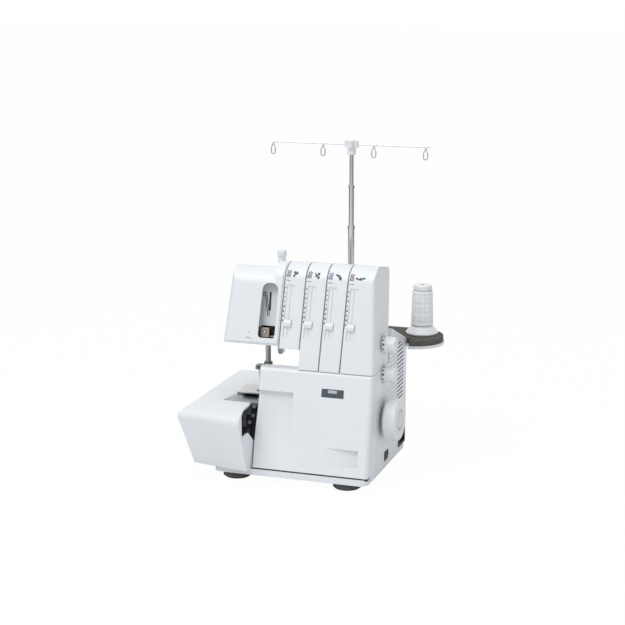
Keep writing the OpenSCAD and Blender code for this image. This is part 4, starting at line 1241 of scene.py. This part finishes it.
@dataclass
class ThreadStand:
    """Tray, foam, pins, telescopic pole, guides and the cone of thread."""

    finishes: Finishes = (
        (Finish.WHITE, ("thread_tray", "spool_pins", "guide_hub")),
        (Finish.CLEAR_WHITE, ("cone_holder",)),
        (Finish.CHROME, ("pole_lower", "pole_middle", "pole_upper")),
        (Finish.STEEL_X, ("guide_wires",)),
    )
    foam_voxel: float = 0.0012
    foam_ease: tuple[float, int] = (0.6, 6)
    cone_rows: int = 60
    cone_steps: int = 96
    cone_low: float = 12.15
    cone_height: float = 49.7
    cone_r: float = 15.5
    cone_taper: float = 1.25
    unevenness: float = 0.28
    waves: Pair = (37.0, 11.0)
    crown: float = 1.6
    crown_share: Pair = (0.03, 0.05)
    bore: tuple[Pair, ...] = ((0.0120, 0.0619), (0.0124, 0.0370), (0.0129, 0.01215))

    def build_cone(self) -> None:
        """Wound thread with crowned ends and slightly uneven turns."""
        mesh = bmesh.new()
        profile: list[Pair] = []
        for k in range(self.cone_rows + 1):
            t = k / self.cone_rows
            wave = math.sin(t * self.waves[0]) * math.sin(t * self.waves[1] + 1)
            radius = self.cone_r - self.cone_taper * t + self.unevenness * wave
            ends = min(1.0, t / self.crown_share[0], (1 - t) / self.crown_share[1])
            radius -= self.crown * (1 - ends) ** 2
            height = self.cone_low + t * self.cone_height
            profile.append((radius / MM_PER_METRE, height / MM_PER_METRE))
        add_turned(mesh, bench(*CONE), profile + list(self.bore), self.cone_steps)
        made = piece("wound_thread", mesh, Finish.THREAD, "spool", 60)
        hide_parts("thread_cone")

    def build_foam(self) -> None:
        """The foam pad, remeshed from its solid so that its edges round over softly."""
        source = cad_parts["foam_pad"]
        data = source.data.copy()
        data.name = "soft_foam"
        made = add_object("soft_foam", data)
        remesh = made.modifiers.new("cells", "REMESH")
        remesh.mode, remesh.voxel_size = "VOXEL", self.foam_voxel
        ease = made.modifiers.new("ease", "SMOOTH")
        ease.factor, ease.iterations = self.foam_ease
        graph = bpy.context.evaluated_depsgraph_get()
        made.data = bpy.data.meshes.new_from_object(made.evaluated_get(graph))
        made.modifiers.clear()
        made.data.materials.clear()
        made.data.materials.append(Finish.FOAM.material)
        made.data.shade_smooth()
        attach(made, "machine")
        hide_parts("foam_pad")
        log.info("soft_foam rides on machine")

    def build(self) -> None:
        """Finishes the stand and adds its soft pieces."""
        dress(self.finishes)
        self.build_cone()
        self.build_foam()


# ---- stage ----


@dataclass
class Studio:
    """Pale floor, even world, soft lamps and the camera."""

    turn: float = 18.6
    tilt: float = 12.8
    eye: Point = (643.0, -1929.85, 674.7)
    lens: float = 88.7
    sensor: float = 36.0
    reach: float = 50.0
    world_colour: Colour = (0.93, 0.96, 1.0, 1.0)
    world_level: float = 0.54
    white: Colour = (1.0, 1.0, 1.0, 1.0)
    floor_size: float = 14.0
    floor_colours: tuple[Colour, Colour] = ((0.93, 0.93, 0.93, 1.0), (0.9, 0.9, 0.905, 1.0))
    floor_glow: float = 0.975
    lamp_colour: Point = (0.97, 0.985, 1.0)
    lamp_aim: Point = (0.0, 0.0, 0.17)
    lamps: tuple[tuple[str, Point, float, float], ...] = (
        ("key_lamp", (-0.7, -1.5, 2.1), 1.2, 25.0),
        ("top_lamp", (0.1, -0.1, 1.9), 1.4, 8.0),
        ("side_lamp", (1.7, -0.6, 0.9), 1.0, 1.5),
    )
    card: Box = (-0.6, 0.0, 0.6, 1.4)
    cards: tuple[tuple[str, float, float], ...] = (
        ("left_card", -1.5, 0.0),
        ("right_card", 1.5, 0.3),
    )

    def build_world(self) -> None:
        """An even pale world that looks white to the camera and in reflections."""
        world = bpy.data.worlds.new("studio")
        bpy.context.scene.world = world
        world.use_nodes = True
        nodes = Nodes(world.node_tree, "ShaderNodeOutputWorld")
        camera = nodes.node("ShaderNodeLightPath", out="Is Camera Ray")
        greatest = {"operation": "MAXIMUM"}
        inputs = {0: camera, 1: camera.also("Is Transmission Ray")}
        direct = nodes.node("ShaderNodeMath", greatest, inputs)
        inputs = {0: direct, 1: camera.also("Is Glossy Ray")}
        seen = nodes.node("ShaderNodeMath", greatest, inputs)
        lit, shown = (
            nodes.node("ShaderNodeBackground", None, {"Color": colour, "Strength": level})
            for colour, level in ((self.world_colour, self.world_level), (self.white, 1.0))
        )
        both = nodes.node("ShaderNodeMixShader", None, {0: seen, 1: lit, 2: shown})
        nodes.link(both, nodes.output.inputs["Surface"])

    def build_floor(self) -> None:
        """A wide pale floor that keeps the machine's shadow."""
        mesh = bmesh.new()
        size = self.floor_size
        corners = ((-size, -size), (size, -size), (size, size), (-size, size))
        mesh.faces.new([mesh.verts.new((x, y, 0.0)) for x, y in corners])
        data = mesh_data("studio_floor", mesh)
        sh = Shader("floor_paper")
        fibres = sh.noise(900.0, 3.0)
        tone = sh.mix((fibres - 0.4).clamped(), *self.floor_colours)
        lit = sh.node("ShaderNodeBsdfDiffuse", None, {"Color": tone})
        seen = sh.node("ShaderNodeLightPath", out="Is Camera Ray") * self.floor_glow
        glow = sh.node("ShaderNodeEmission", None, {"Color": self.white, "Strength": 1.0})
        both = sh.node("ShaderNodeMixShader", None, {0: seen, 1: lit, 2: glow})
        sh.link(both, sh.output.inputs["Surface"])
        data.materials.append(sh.material)
        made = add_object("studio_floor", data)

    def add_lamp(self, name: str, place: Point, size: float, power: float) -> None:
        """Adds a square soft lamp aimed at the machine.

        Args:
            name: the lamp's name.
            place: where it stands, in metres.
            size: its side, in metres.
            power: its power, in watts.
        """
        lamp = bpy.data.lights.new(name, "AREA")
        lamp.shape, lamp.size, lamp.energy = "SQUARE", size, power
        lamp.color = self.lamp_colour
        made = add_object(name, lamp)
        made.location = place
        aim = Vector(self.lamp_aim) - Vector(place)
        made.rotation_euler = aim.to_track_quat("-Z", "Y").to_euler()

    def add_card(self, name: str, x: float, middle: float) -> None:
        """Adds a dark upright card that only bright metal reflects.

        Args:
            name: the card's name.
            x: its distance to the right, in metres.
            middle: its middle's distance behind the origin.
        """
        mesh = bmesh.new()
        near, low, far, high = self.card
        corners = ((near, low), (far, low), (far, high), (near, high))
        mesh.faces.new([mesh.verts.new((x, middle + y, z)) for y, z in corners])
        data = mesh_data(name, mesh)
        data.materials.append(Finish.BLACK.material)
        made = add_object(name, data)
        made.visible_camera = made.visible_diffuse = made.visible_shadow = False

    def build_camera(self) -> None:
        """The camera in front of the machine, a little to its right."""
        camera = bpy.data.cameras.new("studio_camera")
        camera.lens, camera.sensor_width = self.lens, self.sensor
        camera.dof.use_dof = False
        camera.clip_end = self.reach
        made = add_object("studio_camera", camera)
        t, e = math.radians(self.turn), math.radians(self.tilt)
        aim = Vector((-math.sin(t) * math.cos(e), math.cos(t) * math.cos(e), -math.sin(e)))
        made.location = Vector(self.eye) / MM_PER_METRE
        made.rotation_euler = aim.to_track_quat("-Z", "Y").to_euler()
        bpy.context.scene.camera = made

    def build(self) -> None:
        """Sets the stage."""
        bpy.context.scene.view_settings.view_transform = "Standard"
        self.build_world()
        self.build_floor()
        for lamp in self.lamps:
            self.add_lamp(*lamp)
        for card in self.cards:
            self.add_card(*card)
        self.build_camera()


def main() -> None:
    """Builds the stage and every sub-assembly."""
    logging.basicConfig(level=logging.INFO, format="%(name)s: %(message)s")
    Studio().build()
    for part in (Covers(), Mechanism(), Controls(), ThreadStand()):
        part.build()


if __name__ == "__main__":
    main()
